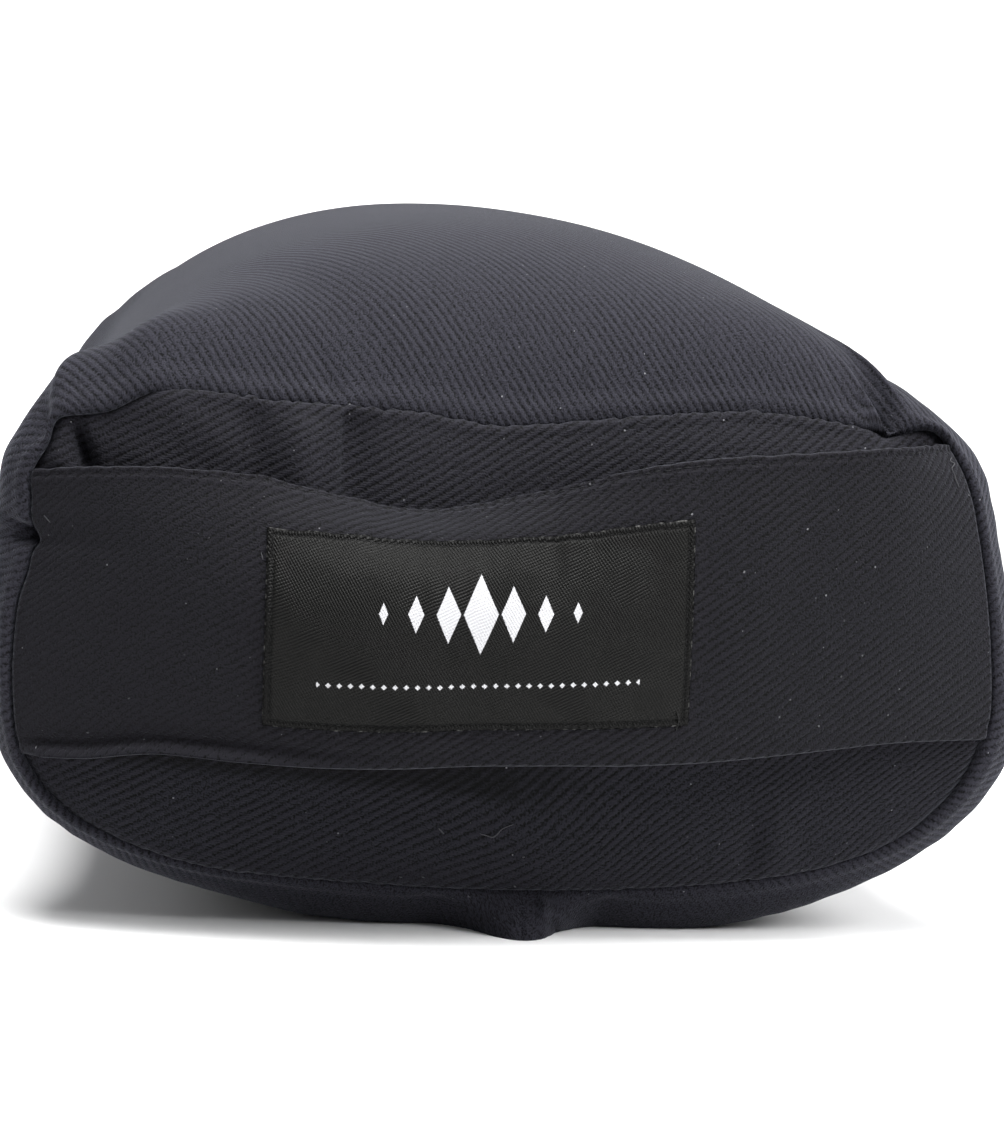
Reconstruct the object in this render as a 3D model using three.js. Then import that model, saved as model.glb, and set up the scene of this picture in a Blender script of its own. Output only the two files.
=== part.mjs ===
// A rectangular yoga bolster lying on its broad side: a filled cloth tube with a panel sewn into each end,
// and a wide carrying strap with a woven label across the front panel.
// Millimetres, +Z up. The tube runs along Y, the front panel faces -Y and +X is to the right as seen from there.
// The origin is the middle of the underside, which is flat where it lies on a floor.

import * as THREE from "three";

// Tube
const TUBE_LENGTH = 594; // from the front lip to the back lip
const LIP_DEPTH = 4; // how far the tube's cloth rolls past the edge of each panel
const MIDDLE_SECTION = { halfWidth: 148.5, height: 224, widestAt: 94, crestShift: -6, sunk: 4 };
const MIDDLE_ROUNDNESS = { top: 2.2, under: 2.6 }; // exponents: 2 is an ellipse, more is squarer
const SWELL_REACH = { top: 32, side: 70, under: 20 }; // how soon the tube fills out behind a seam
const SEAM_ROLL = { height: 7.5, distance: 16 }; // the roll of cloth around each seam

// Panels
const PANEL_THICKNESS = 1.5;
const PANEL_CROWN = 11;
const PANEL_CROWN_POWER = 2.6;
const FOLD_FADE_POWER = 8; // the panel's folds die out close to its sewn edge
const PANEL_CENTRE = { x: 0, z: 88 };
const PANEL_SCALE = 0.994; // keeps the panel's edge just clear of the lip
const CLEARANCE = 0.3; // between pieces that touch

// Strap and label
const STRAP_WIDTH = 92;
const STRAP_THICKNESS = 2.4;
const STRAP_BULGE = 38; // how far the middle of the strap stands out from its sewn ends
const STRAP_END_MARGIN = 1.4; // from the lip
const STRAP_STRAIGHT = 0.6; // the middle share of the strap, whose threads don't follow the seam's outline
const STRAP_END_RISE = 0.4; // over the edge of the panel, which crowns towards it
const CURL = { start: 0.42, bend: 0.8, share: 0.62, full: 0.88 }; // where the strap leans back, by its width
const LABEL_THICKNESS = 1;
const LABEL_LIFT = 0.5; // off the strap, which keeps their facets apart where both bend
const LABEL = { left: -76, right: 52, low: 0.136, top: 0.81 }; // x in mm, and shares of the strap's width

// Fineness of the meshes
const COLUMNS = 88; // around the tube and the panels
const CROWDING = 0.3; // draws the columns together at the bottom middle
const SKIN_STEPS = [0, 2, 5, 9, 14, 20, 28, 38, 52, 72, 100, 140, 190, 245, TUBE_LENGTH / 2];
const PANEL_RINGS = [0.24, 0.46, 0.66, 0.82, 0.93, 1];
const OUTLINE_SAMPLES = 720;
const SECTION_POINTS = 64;
const STRAP_GRID = { along: 46, across: 12 };
const LABEL_GRID = { along: 18, across: 8 };
const CURL_SAMPLES = 60;
const NORMAL_STEP = 0.002;

// The sewn edge of the front panel, from the bottom middle up the right side, over the top and down the left.
const SEAM_OUTLINE = [
  { place: "bottom middle", x: 4, z: 13.5 },
  { place: "bottom right", x: 60, z: 16 },
  { place: "lower right corner, start", x: 102, z: 22.5 },
  { place: "lower right corner", x: 128, z: 33 },
  { place: "lower right corner, end", x: 145, z: 49 },
  { place: "right side, low", x: 153, z: 68 },
  { place: "right side, middle", x: 153, z: 92 },
  { place: "right side, high", x: 148.5, z: 124 },
  { place: "right shoulder", x: 142, z: 148 },
  { place: "top right corner", x: 132, z: 160.5 },
  { place: "dip at the pleat", x: 112, z: 161.5 },
  { place: "top right", x: 76, z: 165.5 },
  { place: "top, right of the middle", x: 30, z: 162.5 },
  { place: "top middle, pulled down", x: -4, z: 159.5 },
  { place: "top, left of the middle", x: -32, z: 163 },
  { place: "top left", x: -75, z: 165 },
  { place: "top left corner, start", x: -108, z: 167 },
  { place: "top left corner", x: -134, z: 160 },
  { place: "left shoulder", x: -145.5, z: 147 },
  { place: "kink in the left side", x: -148, z: 126 },
  { place: "left side, middle", x: -152.5, z: 100 },
  { place: "left side, low", x: -153.5, z: 76 },
  { place: "lower left corner, start", x: -150, z: 54 },
  { place: "lower left corner", x: -138, z: 38 },
  { place: "lower left corner, end", x: -118, z: 27 },
  { place: "bottom left, outer", x: -92, z: 19.5 },
  { place: "bottom left", x: -50, z: 15.5 },
];

// Folds of the tube's cloth at the front seam. Around is the share of the seam's length from the bottom middle,
// lean is how far it moves round for each mm back, depth is inwards, and a negative depth is a ridge.
const TUBE_FOLDS = [
  { name: "crease right of the tuft", around: 0.033, lean: 0, width: 9, peak: 6, depth: 2.5 },
  { name: "fullness at the lower right", around: 0.205, lean: 0, width: 34, peak: 12, depth: -3.5 },
  { name: "lobe right of the pleat", around: 0.323, lean: 0, width: 12, peak: 8, depth: -1.5 },
  { name: "corner pleat", around: 0.347, lean: 0.0008, width: 6, peak: 12, depth: 5 },
  { name: "fullness left of the pleat", around: 0.385, lean: 0, width: 34, peak: 26, depth: -3 },
  { name: "valley on the dome", around: 0.548, lean: 0.0006, width: 14, peak: 22, depth: 3 },
  { name: "overhang at the top left", around: 0.635, lean: 0, width: 34, peak: 18, depth: -4.5 },
  { name: "crease at the left shoulder", around: 0.672, lean: 0, width: 7, peak: 7, depth: 5 },
  { name: "fullness of the left side", around: 0.71, lean: 0, width: 40, peak: 16, depth: -4.5 },
  { name: "crease at the left kink", around: 0.712, lean: 0, width: 7, peak: 7, depth: 6 },
  { name: "lift under the lower left", around: 0.9, lean: 0, width: 42, peak: 16, depth: 4.5 },
  { name: "crease left of the tuft", around: 0.967, lean: 0, width: 9, peak: 6, depth: 2.5 },
];

// The tuft where the tube's long seam ends under the front panel.
const TUFT = { halfWidth: 12, forward: 16, drop: 9, peak: 6 };

// Upright folds of the front panel above the strap: forward is towards the viewer.
const PANEL_FOLDS = [
  { name: "ridge", x: -38, z: 150, width: 9, height: 26, forward: 3 },
  { name: "valley", x: -53, z: 150, width: 8, height: 26, forward: -3 },
  { name: "slack pocket at the left", x: -130, z: 146, width: 14, height: 18, forward: -2.5 },
  { name: "pucker low on the right", x: 78, z: 30, width: 8, height: 12, forward: -1.5 },
];

// The strap's lower and upper edge, and how far its top leans back there, in degrees.
const STRAP_STATIONS = [
  { x: -152, low: 54.5, top: 142.5, curl: 0 },
  { x: -132, low: 55.5, top: 144.5, curl: 2 },
  { x: -105, low: 59, top: 145.5, curl: 10 },
  { x: -80, low: 58, top: 144.5, curl: 24 },
  { x: -58, low: 57, top: 139, curl: 50 },
  { x: -30, low: 58, top: 134.5, curl: 62 },
  { x: -6, low: 59.5, top: 138.5, curl: 50 },
  { x: 25, low: 60, top: 147, curl: 22 },
  { x: 52, low: 60.5, top: 153, curl: 6 },
  { x: 92, low: 63.5, top: 156, curl: 2 },
  { x: 125, low: 65.5, top: 157.5, curl: 0 },
  { x: 152, low: 65, top: 158, curl: 0 },
];

const cloth = {
  tube: new THREE.MeshStandardMaterial({ color: 0x2b2b31, roughness: 0.92, metalness: 0 }),
  panel: new THREE.MeshStandardMaterial({ color: 0x29292e, roughness: 0.92, metalness: 0 }),
  strap: new THREE.MeshStandardMaterial({ color: 0x26262b, roughness: 0.9, metalness: 0 }),
  label: new THREE.MeshStandardMaterial({ color: 0x1d1d1e, roughness: 0.55, metalness: 0 }),
};

// Meshes

// Two triangles across the shorter diagonal, so that a sheet and what it lies on bend alike.
function pushQuad(triangles, vertices, a, b, c, d) {
  const acrossFirst = vertices[a].distanceTo(vertices[c]) <= vertices[b].distanceTo(vertices[d]);
  if (acrossFirst) triangles.push(a, b, c, a, c, d);
  else triangles.push(a, b, d, b, c, d);
}

// A closed solid whose surface runs from one end point through rings of equal length to another end point.
// Each ring goes anticlockwise as seen from beyond the first end.
function closedLoft(firstPoint, rings, lastPoint) {
  const count = rings[0].length;
  const vertices = [firstPoint, ...rings.flat(), lastPoint];
  const last = vertices.length - 1;
  const triangles = [];
  for (let i = 0; i < count; i++) {
    const next = (i + 1) % count;
    triangles.push(0, 1 + i, 1 + next);
    for (let r = 0; r + 1 < rings.length; r++) {
      const near = 1 + r * count;
      const far = near + count;
      pushQuad(triangles, vertices, near + i, far + i, far + next, near + next);
    }
    const end = last - count;
    triangles.push(end + i, last, end + next);
  }
  return indexedGeometry(vertices, triangles);
}

// A closed sheet between two grids of points, outer and inner, each a list of rows. Seen from the outer side,
// a row runs left to right and the rows go upwards.
function closedSheet(outer, inner) {
  const rows = outer.length;
  const columns = outer[0].length;
  const vertices = [...outer.flat(), ...inner.flat()];
  const behind = rows * columns;
  const triangles = [];
  const quad = (a, b, c, d) => pushQuad(triangles, vertices, a, b, c, d);
  const at = (row, column) => row * columns + column;
  for (let row = 0; row + 1 < rows; row++) {
    for (let column = 0; column + 1 < columns; column++) {
      const corners = [at(row, column), at(row, column + 1), at(row + 1, column + 1), at(row + 1, column)];
      quad(...corners);
      quad(...corners.map((index) => index + behind).reverse());
    }
  }
  const rim = [];
  for (let column = 0; column < columns - 1; column++) rim.push(at(0, column));
  for (let row = 0; row < rows - 1; row++) rim.push(at(row, columns - 1));
  for (let column = columns - 1; column > 0; column--) rim.push(at(rows - 1, column));
  for (let row = rows - 1; row > 0; row--) rim.push(at(row, 0));
  rim.forEach((index, i) => {
    const next = rim[(i + 1) % rim.length];
    quad(index, index + behind, next + behind, next);
  });
  return indexedGeometry(vertices, triangles);
}

function indexedGeometry(vertices, triangles) {
  const geometry = new THREE.BufferGeometry().setFromPoints(vertices);
  geometry.setIndex(triangles);
  geometry.computeVertexNormals();
  return geometry;
}

function namedMesh(name, geometry, material) {
  const mesh = new THREE.Mesh(geometry, material);
  mesh.name = name;
  return mesh;
}

// Outlines, each a closed curve in the XZ plane that starts at the bottom middle

const onSection = (x, z) => new THREE.Vector3(x, 0, z);

const seamCurve = new THREE.CatmullRomCurve3(
  SEAM_OUTLINE.map(({ x, z }) => onSection(x, z)),
  true,
  "centripetal",
);
const SEAM_LENGTH = seamCurve.getLength();

function middleSectionPoint(turn) {
  const { halfWidth, height, widestAt, crestShift, sunk } = MIDDLE_SECTION;
  const angle = turn * 2 * Math.PI - Math.PI / 2;
  const across = Math.cos(angle);
  const up = Math.sin(angle);
  const power = 2 / (up > 0 ? MIDDLE_ROUNDNESS.top : MIDDLE_ROUNDNESS.under);
  const rise = up > 0 ? height - widestAt : widestAt + sunk;
  const x = halfWidth * Math.sign(across) * Math.abs(across) ** power;
  const z = rise * Math.sign(up) * Math.abs(up) ** power;
  return onSection(x + (crestShift * Math.max(z, 0)) / rise, widestAt + z);
}

const middleCurve = new THREE.CatmullRomCurve3(
  Array.from({ length: SECTION_POINTS }, (_, i) => middleSectionPoint(i / SECTION_POINTS)),
  true,
  "centripetal",
);

// The share of the way round at which each column of the mesh stands.
const columnShares = Array.from({ length: COLUMNS }, (_, i) => {
  const even = i / COLUMNS;
  return even - (CROWDING * Math.sin(2 * Math.PI * even)) / (2 * Math.PI);
});

// Each column with its point on both outlines and its outward direction at the seam.
const columns = columnShares.map((share) => {
  const tangent = seamCurve.getTangentAt(share);
  return {
    share,
    seam: seamCurve.getPointAt(share),
    middle: middleCurve.getPointAt(share),
    outward: onSection(tangent.z, -tangent.x),
  };
});

// Signed distance round the seam from one share to another, the short way.
function distanceRound(from, to) {
  const difference = to - from;
  return (difference - Math.round(difference)) * SEAM_LENGTH;
}

const bell = (value) => Math.exp(-value * value);

// Rises from 0 to 1 at the peak and falls off slowly behind it.
const surge = (distance, peak) => (distance / peak) * Math.exp(1 - distance / peak);

// Tube

function swell(outward, distance) {
  const { top, side, under } = SWELL_REACH;
  const up = outward.z;
  const reach = up > 0 ? side + (top - side) * up * up : side - (under - side) * up;
  return (1 - Math.exp(-distance / reach)) / (1 - Math.exp(-TUBE_LENGTH / 2 / reach));
}

function foldDepth(share, distance) {
  return TUBE_FOLDS.reduce((depth, fold) => {
    const aside = distanceRound(fold.around + fold.lean * distance, share) / fold.width;
    return depth + fold.depth * bell(aside) * surge(distance, fold.peak);
  }, 0);
}

// A point of the tube's cloth, a distance behind the lip of its own end.
// End is -1 for the front, which has the folds and the tuft, and 1 for the plain back.
function tubePoint(column, distance, end) {
  const { seam, middle, outward, share } = column;
  const point = seam.clone().lerp(middle, swell(outward, distance));
  let roll = SEAM_ROLL.height * surge(distance, SEAM_ROLL.distance);
  point.y = end * (TUBE_LENGTH / 2 - distance);
  if (end < 0) {
    roll -= foldDepth(share, distance);
    const tuft = bell(distanceRound(0, share) / TUFT.halfWidth) * surge(distance, TUFT.peak);
    point.y -= TUFT.forward * tuft;
    point.z -= TUFT.drop * tuft;
  }
  point.addScaledVector(outward, roll);
  point.z = Math.max(point.z, 0);
  return point;
}

// Panels. Ring is 0 at the middle of the panel and 1 at its sewn edge.

const panelEdgeY = TUBE_LENGTH / 2 - LIP_DEPTH; // the face that the panel lies on, at its edge

function panelForward(x, z, ring, end) {
  const crown = PANEL_CROWN * (1 - ring ** PANEL_CROWN_POWER);
  if (end > 0) return crown;
  const edgeFade = 1 - ring ** FOLD_FADE_POWER;
  return PANEL_FOLDS.reduce((forward, fold) => {
    const bump = bell((x - fold.x) / fold.width) * bell((z - fold.z) / fold.height);
    return forward + fold.forward * bump * edgeFade;
  }, crown);
}

function panelPoint(column, ring, end, offset) {
  const { x, z } = PANEL_CENTRE;
  const px = x + (column.seam.x - x) * ring * PANEL_SCALE;
  const pz = z + (column.seam.z - z) * ring * PANEL_SCALE;
  const forward = panelForward(px, pz, ring, end) + offset;
  return new THREE.Vector3(px, end * (panelEdgeY + forward), pz);
}

// The foot of the lip, where the face behind the panel meets the roll of the tube's cloth.
function lipFoot(column, end) {
  return new THREE.Vector3(column.seam.x, end * panelEdgeY, column.seam.z);
}

// Columns run anticlockwise seen from the front, so the loft starts at the front.
function bodyGeometry() {
  const centre = (end) => panelPoint(columns[0], 0, end, 0);
  const face = (end) => [
    ...PANEL_RINGS.map((ring) => columns.map((column) => panelPoint(column, ring, end, 0))),
    columns.map((column) => lipFoot(column, end)),
  ];
  const front = SKIN_STEPS.map((distance) => columns.map((column) => tubePoint(column, distance, -1)));
  const back = SKIN_STEPS.slice(0, -1).map((distance) =>
    columns.map((column) => tubePoint(column, distance, 1)),
  );
  const rings = [...face(-1), ...front, ...back.reverse(), ...face(1).reverse()];
  return closedLoft(centre(-1), rings, centre(1));
}

function panelGeometry(end) {
  const face = (offset) =>
    PANEL_RINGS.map((ring) => columns.map((column) => panelPoint(column, ring, end, offset)));
  const centre = (offset) => panelPoint(columns[0], 0, end, offset);
  const near = CLEARANCE;
  const far = CLEARANCE + PANEL_THICKNESS;
  const [first, second] = end < 0 ? [far, near] : [near, far];
  return closedLoft(centre(first), [...face(first), ...face(second).reverse()], centre(second));
}

// Strap

// A smooth value between the rows of a table, by its x column.
function valueAt(rows, column, x) {
  const last = rows.length - 2;
  let i = 0;
  while (i < last && x > rows[i + 1].x) i++;
  const slope = (a, b) => (rows[b][column] - rows[a][column]) / (rows[b].x - rows[a].x);
  const span = rows[i + 1].x - rows[i].x;
  const t = THREE.MathUtils.clamp((x - rows[i].x) / span, 0, 1);
  const startSlope = slope(Math.max(i - 1, 0), i + 1) * span;
  const endSlope = slope(i, Math.min(i + 2, rows.length - 1)) * span;
  const rise = rows[i + 1][column] - rows[i][column];
  const bend = t * (1 - t) * ((1 - t) * (startSlope - rise) - t * (endSlope - rise));
  return rows[i][column] + rise * t + bend;
}

const seamSamples = seamCurve.getSpacedPoints(OUTLINE_SAMPLES);

// The x of the sewn edge at a height, on the left (-1) or right (1) side.
function seamSideX(z, side) {
  const onSide = seamSamples.filter((point) => point.x * side > PANEL_CENTRE.x);
  const nearest = onSide.reduce((best, point) => {
    const better = Math.abs(point.z - z) < Math.abs(best.z - z);
    return better ? point : best;
  });
  return nearest.x;
}

// How far the strap leans at a share of its width, as a share of the full lean.
function leanShare(across) {
  const { start, bend, share, full } = CURL;
  const gentle = THREE.MathUtils.smoothstep(across, start, bend);
  const sharp = THREE.MathUtils.smoothstep(across, bend, full);
  return share * gentle + (1 - share) * sharp;
}

// Height and set-back of the strap's section up to a share of its width, for a full lean in degrees.
function strapSection(across, curl) {
  const section = { up: 0, back: 0 };
  const steps = Math.max(1, Math.round(across * CURL_SAMPLES));
  for (let i = 0; i < steps; i++) {
    const lean = THREE.MathUtils.degToRad(curl) * leanShare(((i + 0.5) / steps) * across);
    section.up += (Math.cos(lean) * across) / steps;
    section.back += (Math.sin(lean) * across) / steps;
  }
  return section;
}

// A point on the strap's outer face. Along is 0 at the left seam and 1 at the right one.
function strapPoint(along, across) {
  const roughX = THREE.MathUtils.lerp(STRAP_STATIONS[0].x, STRAP_STATIONS.at(-1).x, along);
  const station = (column) => valueAt(STRAP_STATIONS, column, roughX);
  const curl = station("curl");
  const { up, back } = strapSection(across, curl);
  const low = station("low");
  const z = low + ((station("top") - low) * up) / strapSection(1, curl).up;
  const side = roughX < 0 ? -1 : 1;
  const sewnX = seamSideX(z, side) - side * STRAP_END_MARGIN;
  const endX = STRAP_STATIONS.at(side < 0 ? 0 : -1).x;
  const towardsEnd = Math.max(0, Math.abs(2 * along - 1) - STRAP_STRAIGHT) / (1 - STRAP_STRAIGHT);
  const x = roughX + (sewnX - endX) * towardsEnd ** 2;
  const bulge = STRAP_BULGE * (1 - (2 * along - 1) ** 2);
  const endY = panelEdgeY + CLEARANCE + PANEL_THICKNESS + STRAP_END_RISE + STRAP_THICKNESS;
  const y = -(endY + bulge) + STRAP_WIDTH * back;
  return new THREE.Vector3(x, y, z);
}

function strapNormal(along, across) {
  const a = THREE.MathUtils.clamp(along, NORMAL_STEP, 1 - NORMAL_STEP);
  const t = THREE.MathUtils.clamp(across, NORMAL_STEP, 1 - NORMAL_STEP);
  const sideways = strapPoint(a + NORMAL_STEP, t).sub(strapPoint(a - NORMAL_STEP, t));
  const upwards = strapPoint(a, t + NORMAL_STEP).sub(strapPoint(a, t - NORMAL_STEP));
  return sideways.cross(upwards).normalize();
}

// Points over a part of the strap, lifted off its outer face.
function strapGrid({ along, across }, region, lift) {
  const row = (t) =>
    Array.from({ length: along + 1 }, (_, i) => {
      const a = THREE.MathUtils.lerp(region.left, region.right, i / along);
      return strapPoint(a, t).addScaledVector(strapNormal(a, t), lift);
    });
  return Array.from({ length: across + 1 }, (_, i) =>
    row(THREE.MathUtils.lerp(region.low, region.top, i / across)),
  );
}

function strapGeometry() {
  const whole = { left: 0, right: 1, low: 0, top: 1 };
  return closedSheet(strapGrid(STRAP_GRID, whole, 0), strapGrid(STRAP_GRID, whole, -STRAP_THICKNESS));
}

function labelGeometry() {
  const first = STRAP_STATIONS[0].x;
  const length = STRAP_STATIONS.at(-1).x - first;
  const region = { ...LABEL, left: (LABEL.left - first) / length, right: (LABEL.right - first) / length };
  return closedSheet(
    strapGrid(LABEL_GRID, region, LABEL_LIFT + LABEL_THICKNESS),
    strapGrid(LABEL_GRID, region, LABEL_LIFT),
  );
}

const bolster = new THREE.Group();
bolster.name = "yoga_bolster";
bolster.add(
  namedMesh("body", bodyGeometry(), cloth.tube),
  namedMesh("end_panel_front", panelGeometry(-1), cloth.panel),
  namedMesh("end_panel_back", panelGeometry(1), cloth.panel),
  namedMesh("handle_strap", strapGeometry(), cloth.strap),
  namedMesh("label", labelGeometry(), cloth.label),
);

export default bolster;
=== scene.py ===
"""A rectangular yoga bolster of dark twill, with a wide carrying strap and a woven label on its front panel.

The bolster is a filled cloth tube that lies along Y on a pale floor. Its front panel faces -Y, and +X is to
the right as seen from there. Lengths are in millimetres unless a docstring says metres, and a surface is
scaled to metres when its mesh is made. Points are arrays whose last axis holds x, y and z.
"""

import logging
import math
from contextlib import contextmanager
from dataclasses import dataclass, field
from enum import Enum
from typing import Iterator, Sequence

import bpy
import numpy as np
from mathutils import Matrix, Vector


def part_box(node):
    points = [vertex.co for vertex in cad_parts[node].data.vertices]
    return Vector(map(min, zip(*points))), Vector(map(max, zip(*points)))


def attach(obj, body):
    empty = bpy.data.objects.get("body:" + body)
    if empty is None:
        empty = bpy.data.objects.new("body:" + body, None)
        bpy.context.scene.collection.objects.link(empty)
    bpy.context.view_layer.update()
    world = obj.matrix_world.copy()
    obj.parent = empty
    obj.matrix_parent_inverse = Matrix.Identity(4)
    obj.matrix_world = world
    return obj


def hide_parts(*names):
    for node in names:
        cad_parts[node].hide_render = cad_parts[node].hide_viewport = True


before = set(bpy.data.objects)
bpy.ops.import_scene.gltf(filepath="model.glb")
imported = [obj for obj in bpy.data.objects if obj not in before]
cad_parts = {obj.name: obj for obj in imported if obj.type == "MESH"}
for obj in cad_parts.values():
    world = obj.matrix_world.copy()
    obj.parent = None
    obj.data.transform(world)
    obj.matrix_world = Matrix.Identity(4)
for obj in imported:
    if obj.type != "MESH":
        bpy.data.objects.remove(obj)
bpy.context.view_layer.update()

log = logging.getLogger("bolster")

MM = 0.001
BODY = "root"
CLOTH_MAP = "cloth"  # the UV map of a piece: warp and weft, in metres
MERGE_DISTANCE = 0.01  # points nearer than this are one
RING_REACH = 0.02  # how far a packed ring's corners may lie from its plane
RING_DECIMALS = 3

Pair = tuple[float, float]
Triple = tuple[float, float, float]


# Numbers and curves


def bell(value: np.ndarray) -> np.ndarray:
    """A smooth hump that is 1 at zero and nearly 0 beyond 2 on either side."""
    return np.exp(-value * value)


def surge(distance: np.ndarray, peak: float) -> np.ndarray:
    """Rises from 0 to 1 at the peak and falls off slowly behind it."""
    reach = np.maximum(distance, 0) / peak
    return reach * np.exp(1 - reach)


def smooth(value: np.ndarray, low: float, high: float) -> np.ndarray:
    """A soft step from 0 at low to 1 at high, falling where low is above high."""
    t = np.clip((value - low) / (high - low), 0, 1)
    return t * t * (3 - 2 * t)


def stacked(*parts: np.ndarray | float) -> np.ndarray:
    """Numbers side by side on a new last axis."""
    return np.stack(np.broadcast_arrays(*parts), axis=-1)


def unit(vectors: np.ndarray) -> np.ndarray:
    """Vectors of the same directions and a length of 1."""
    return vectors / np.linalg.norm(vectors, axis=-1, keepdims=True)


def run_length(points: np.ndarray) -> np.ndarray:
    """The distance travelled from the first point to each, along the first axis."""
    steps = np.linalg.norm(np.diff(points, axis=0), axis=-1)
    return np.concatenate([np.zeros_like(steps[:1]), np.cumsum(steps, axis=0)])


def hermite(knots: np.ndarray, values: np.ndarray, slopes: np.ndarray, where: np.ndarray) -> np.ndarray:
    """Cubic curve through values at knots.

    Args:
        knots: increasing places, one for each value.
        values: values at the knots, with any further axes.
        slopes: slopes at the knots, shaped as values.
        where: places to read, clipped to the knots.

    Returns:
        The curve at each place, with the further axes last.
    """
    where = np.clip(where, knots[0], knots[-1])
    i = np.clip(np.searchsorted(knots, where, side="right") - 1, 0, len(knots) - 2)
    span = knots[i + 1] - knots[i]
    t = (where - knots[i]) / span
    extra = (1,) * (values.ndim - 1)
    t, span = t.reshape(t.shape + extra), span.reshape(span.shape + extra)
    near, far = values[i], values[i + 1]
    rise = far - near
    bend = (1 - t) * (slopes[i] * span - rise) - t * (slopes[i + 1] * span - rise)
    return near + rise * t + t * (1 - t) * bend


def smooth_column(rows: Sequence[object], place: str, column: str, where: np.ndarray) -> np.ndarray:
    """A smooth value between the rows of a table, which doesn't overshoot them.

    Args:
        rows: rows in order of their place.
        place: name of the field that holds a row's place.
        column: name of the field to read.
        where: places to read.

    Returns:
        The column's value at each place.
    """
    knots = np.array([getattr(row, place) for row in rows], float)
    values = np.array([getattr(row, column) for row in rows], float)
    rise = np.diff(values) / np.diff(knots)
    before, after = rise[:-1], rise[1:]
    same_way = before * after > 0
    lean = np.where(same_way, 1 / np.where(same_way, before, 1) + 1 / np.where(same_way, after, 1), 1)
    slopes = np.concatenate([rise[:1], np.where(same_way, 2 / lean, 0), rise[-1:]])
    return hermite(knots, values, slopes, where)


@dataclass(frozen=True)
class Outline:
    """A closed outline in the XZ plane, anticlockwise as seen from the front, from its bottom middle."""

    knots: np.ndarray
    points: np.ndarray
    slopes: np.ndarray
    length: float

    @classmethod
    def from_node(cls, node: str, y: float, middle: float, growth: float = 1.0) -> "Outline":
        """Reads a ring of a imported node.

        Args:
            node: name of the node.
            y: where along Y the ring lies.
            middle: height of the outline's middle.
            growth: how much larger than the ring the outline is.

        Returns:
            The outline through the ring's corners.
        """
        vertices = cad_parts[node].data.vertices
        co = np.empty(len(vertices) * 3)
        vertices.foreach_get("co", co)
        co = co.reshape(-1, 3) / MM
        ring = np.unique(np.round(co[np.abs(co[:, 1] - y) < RING_REACH][:, [0, 2]], RING_DECIMALS), axis=0)
        angle = np.arctan2(ring[:, 1] - middle, ring[:, 0])
        ring = ring[np.argsort(angle)]
        lowest = ring[:, 1] < ring[:, 1].min() + MERGE_DISTANCE
        start = np.flatnonzero(lowest)[np.argmin(np.abs(ring[lowest, 0]))]
        centre = np.array([0, middle])
        return cls.through(centre + (np.roll(ring, -start, axis=0) - centre) * growth)

    @classmethod
    def through(cls, ring: np.ndarray) -> "Outline":
        """The outline through a ring of points, each with x and z."""
        closed = np.vstack([ring, ring[:1]])
        steps = np.linalg.norm(np.diff(closed, axis=0), axis=1)
        length = steps.sum()
        knots = np.concatenate([[0], np.cumsum(steps)]) / length
        around = np.concatenate([[knots[-2] - 1], knots, [1 + knots[1]]])
        wide = np.vstack([ring[-1:], closed, ring[1:2]])
        slopes = (wide[2:] - wide[:-2]) / (around[2:] - around[:-2])[:, None]
        return cls(knots, closed, slopes, float(length))

    def nudged(self, nudges: Sequence["Nudge"], steps: int = 1200) -> "Outline":
        """The same outline with corners and kinks brought out, a point every share of 1 / steps."""
        share = np.arange(steps) / steps
        push = sum(nudge.outward * bell(self.distance(nudge.around, share) / nudge.width) for nudge in nudges)
        return Outline.through(self.at(share) + self.outward(share) * push[:, None])

    def at(self, share: np.ndarray) -> np.ndarray:
        """The x and z at shares of the way round."""
        return hermite(self.knots, self.points, self.slopes, np.mod(share, 1))

    def outward(self, share: np.ndarray, step: float = 0.002) -> np.ndarray:
        """The outward direction, as x and z, at shares of the way round, even over a step to either side."""
        along = unit(self.at(share + step) - self.at(share - step))
        return stacked(along[..., 1], -along[..., 0])

    def distance(self, start: float, share: np.ndarray) -> np.ndarray:
        """Signed distance round the outline from one share to others, the short way."""
        difference = share - start
        return (difference - np.round(difference)) * self.length

    @property
    def area(self) -> float:
        """The area inside the outline's points."""
        x, z = self.points[:, 0], self.points[:, 1]
        return float(abs(np.sum(x[:-1] * z[1:] - x[1:] * z[:-1])) / 2)


@dataclass(frozen=True)
class Ripples:
    """Soft, uneven waves over a surface, the same on each run."""

    wavelength: float
    seed: int
    waves: int = 24
    shortest: float = 0.7
    longest: float = 1.8

    def at(self, a: np.ndarray, b: np.ndarray) -> np.ndarray:
        """Height, mostly within -1 to 1, at two coordinates along a surface."""
        random = np.random.default_rng(self.seed)
        turn = random.uniform(0, 2 * math.pi, self.waves)
        size = self.wavelength * random.uniform(self.shortest, self.longest, self.waves)
        phase = random.uniform(0, 2 * math.pi, self.waves)
        height = np.zeros(np.broadcast(a, b).shape)
        for direction, length, start in zip(turn, size, phase):
            across = a * math.cos(direction) + b * math.sin(direction)
            height += np.sin(across * 2 * math.pi / length + start)
        return height * math.sqrt(2 / self.waves) / 2


# Meshes


def deselect() -> None:
    """Leaves object mode with nothing selected."""
    if bpy.context.mode != "OBJECT":
        bpy.ops.object.mode_set(mode="OBJECT")
    bpy.ops.object.select_all(action="DESELECT")


def activate(piece: bpy.types.Object) -> None:
    """Makes a piece the only one selected."""
    deselect()
    piece.select_set(True)
    bpy.context.view_layer.objects.active = piece


@contextmanager
def edit_mode() -> Iterator[None]:
    """Edit mode on the active piece, with all of it selected."""
    bpy.ops.object.mode_set(mode="EDIT")
    bpy.ops.mesh.select_all(action="SELECT")
    yield
    bpy.ops.object.mode_set(mode="OBJECT")


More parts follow.
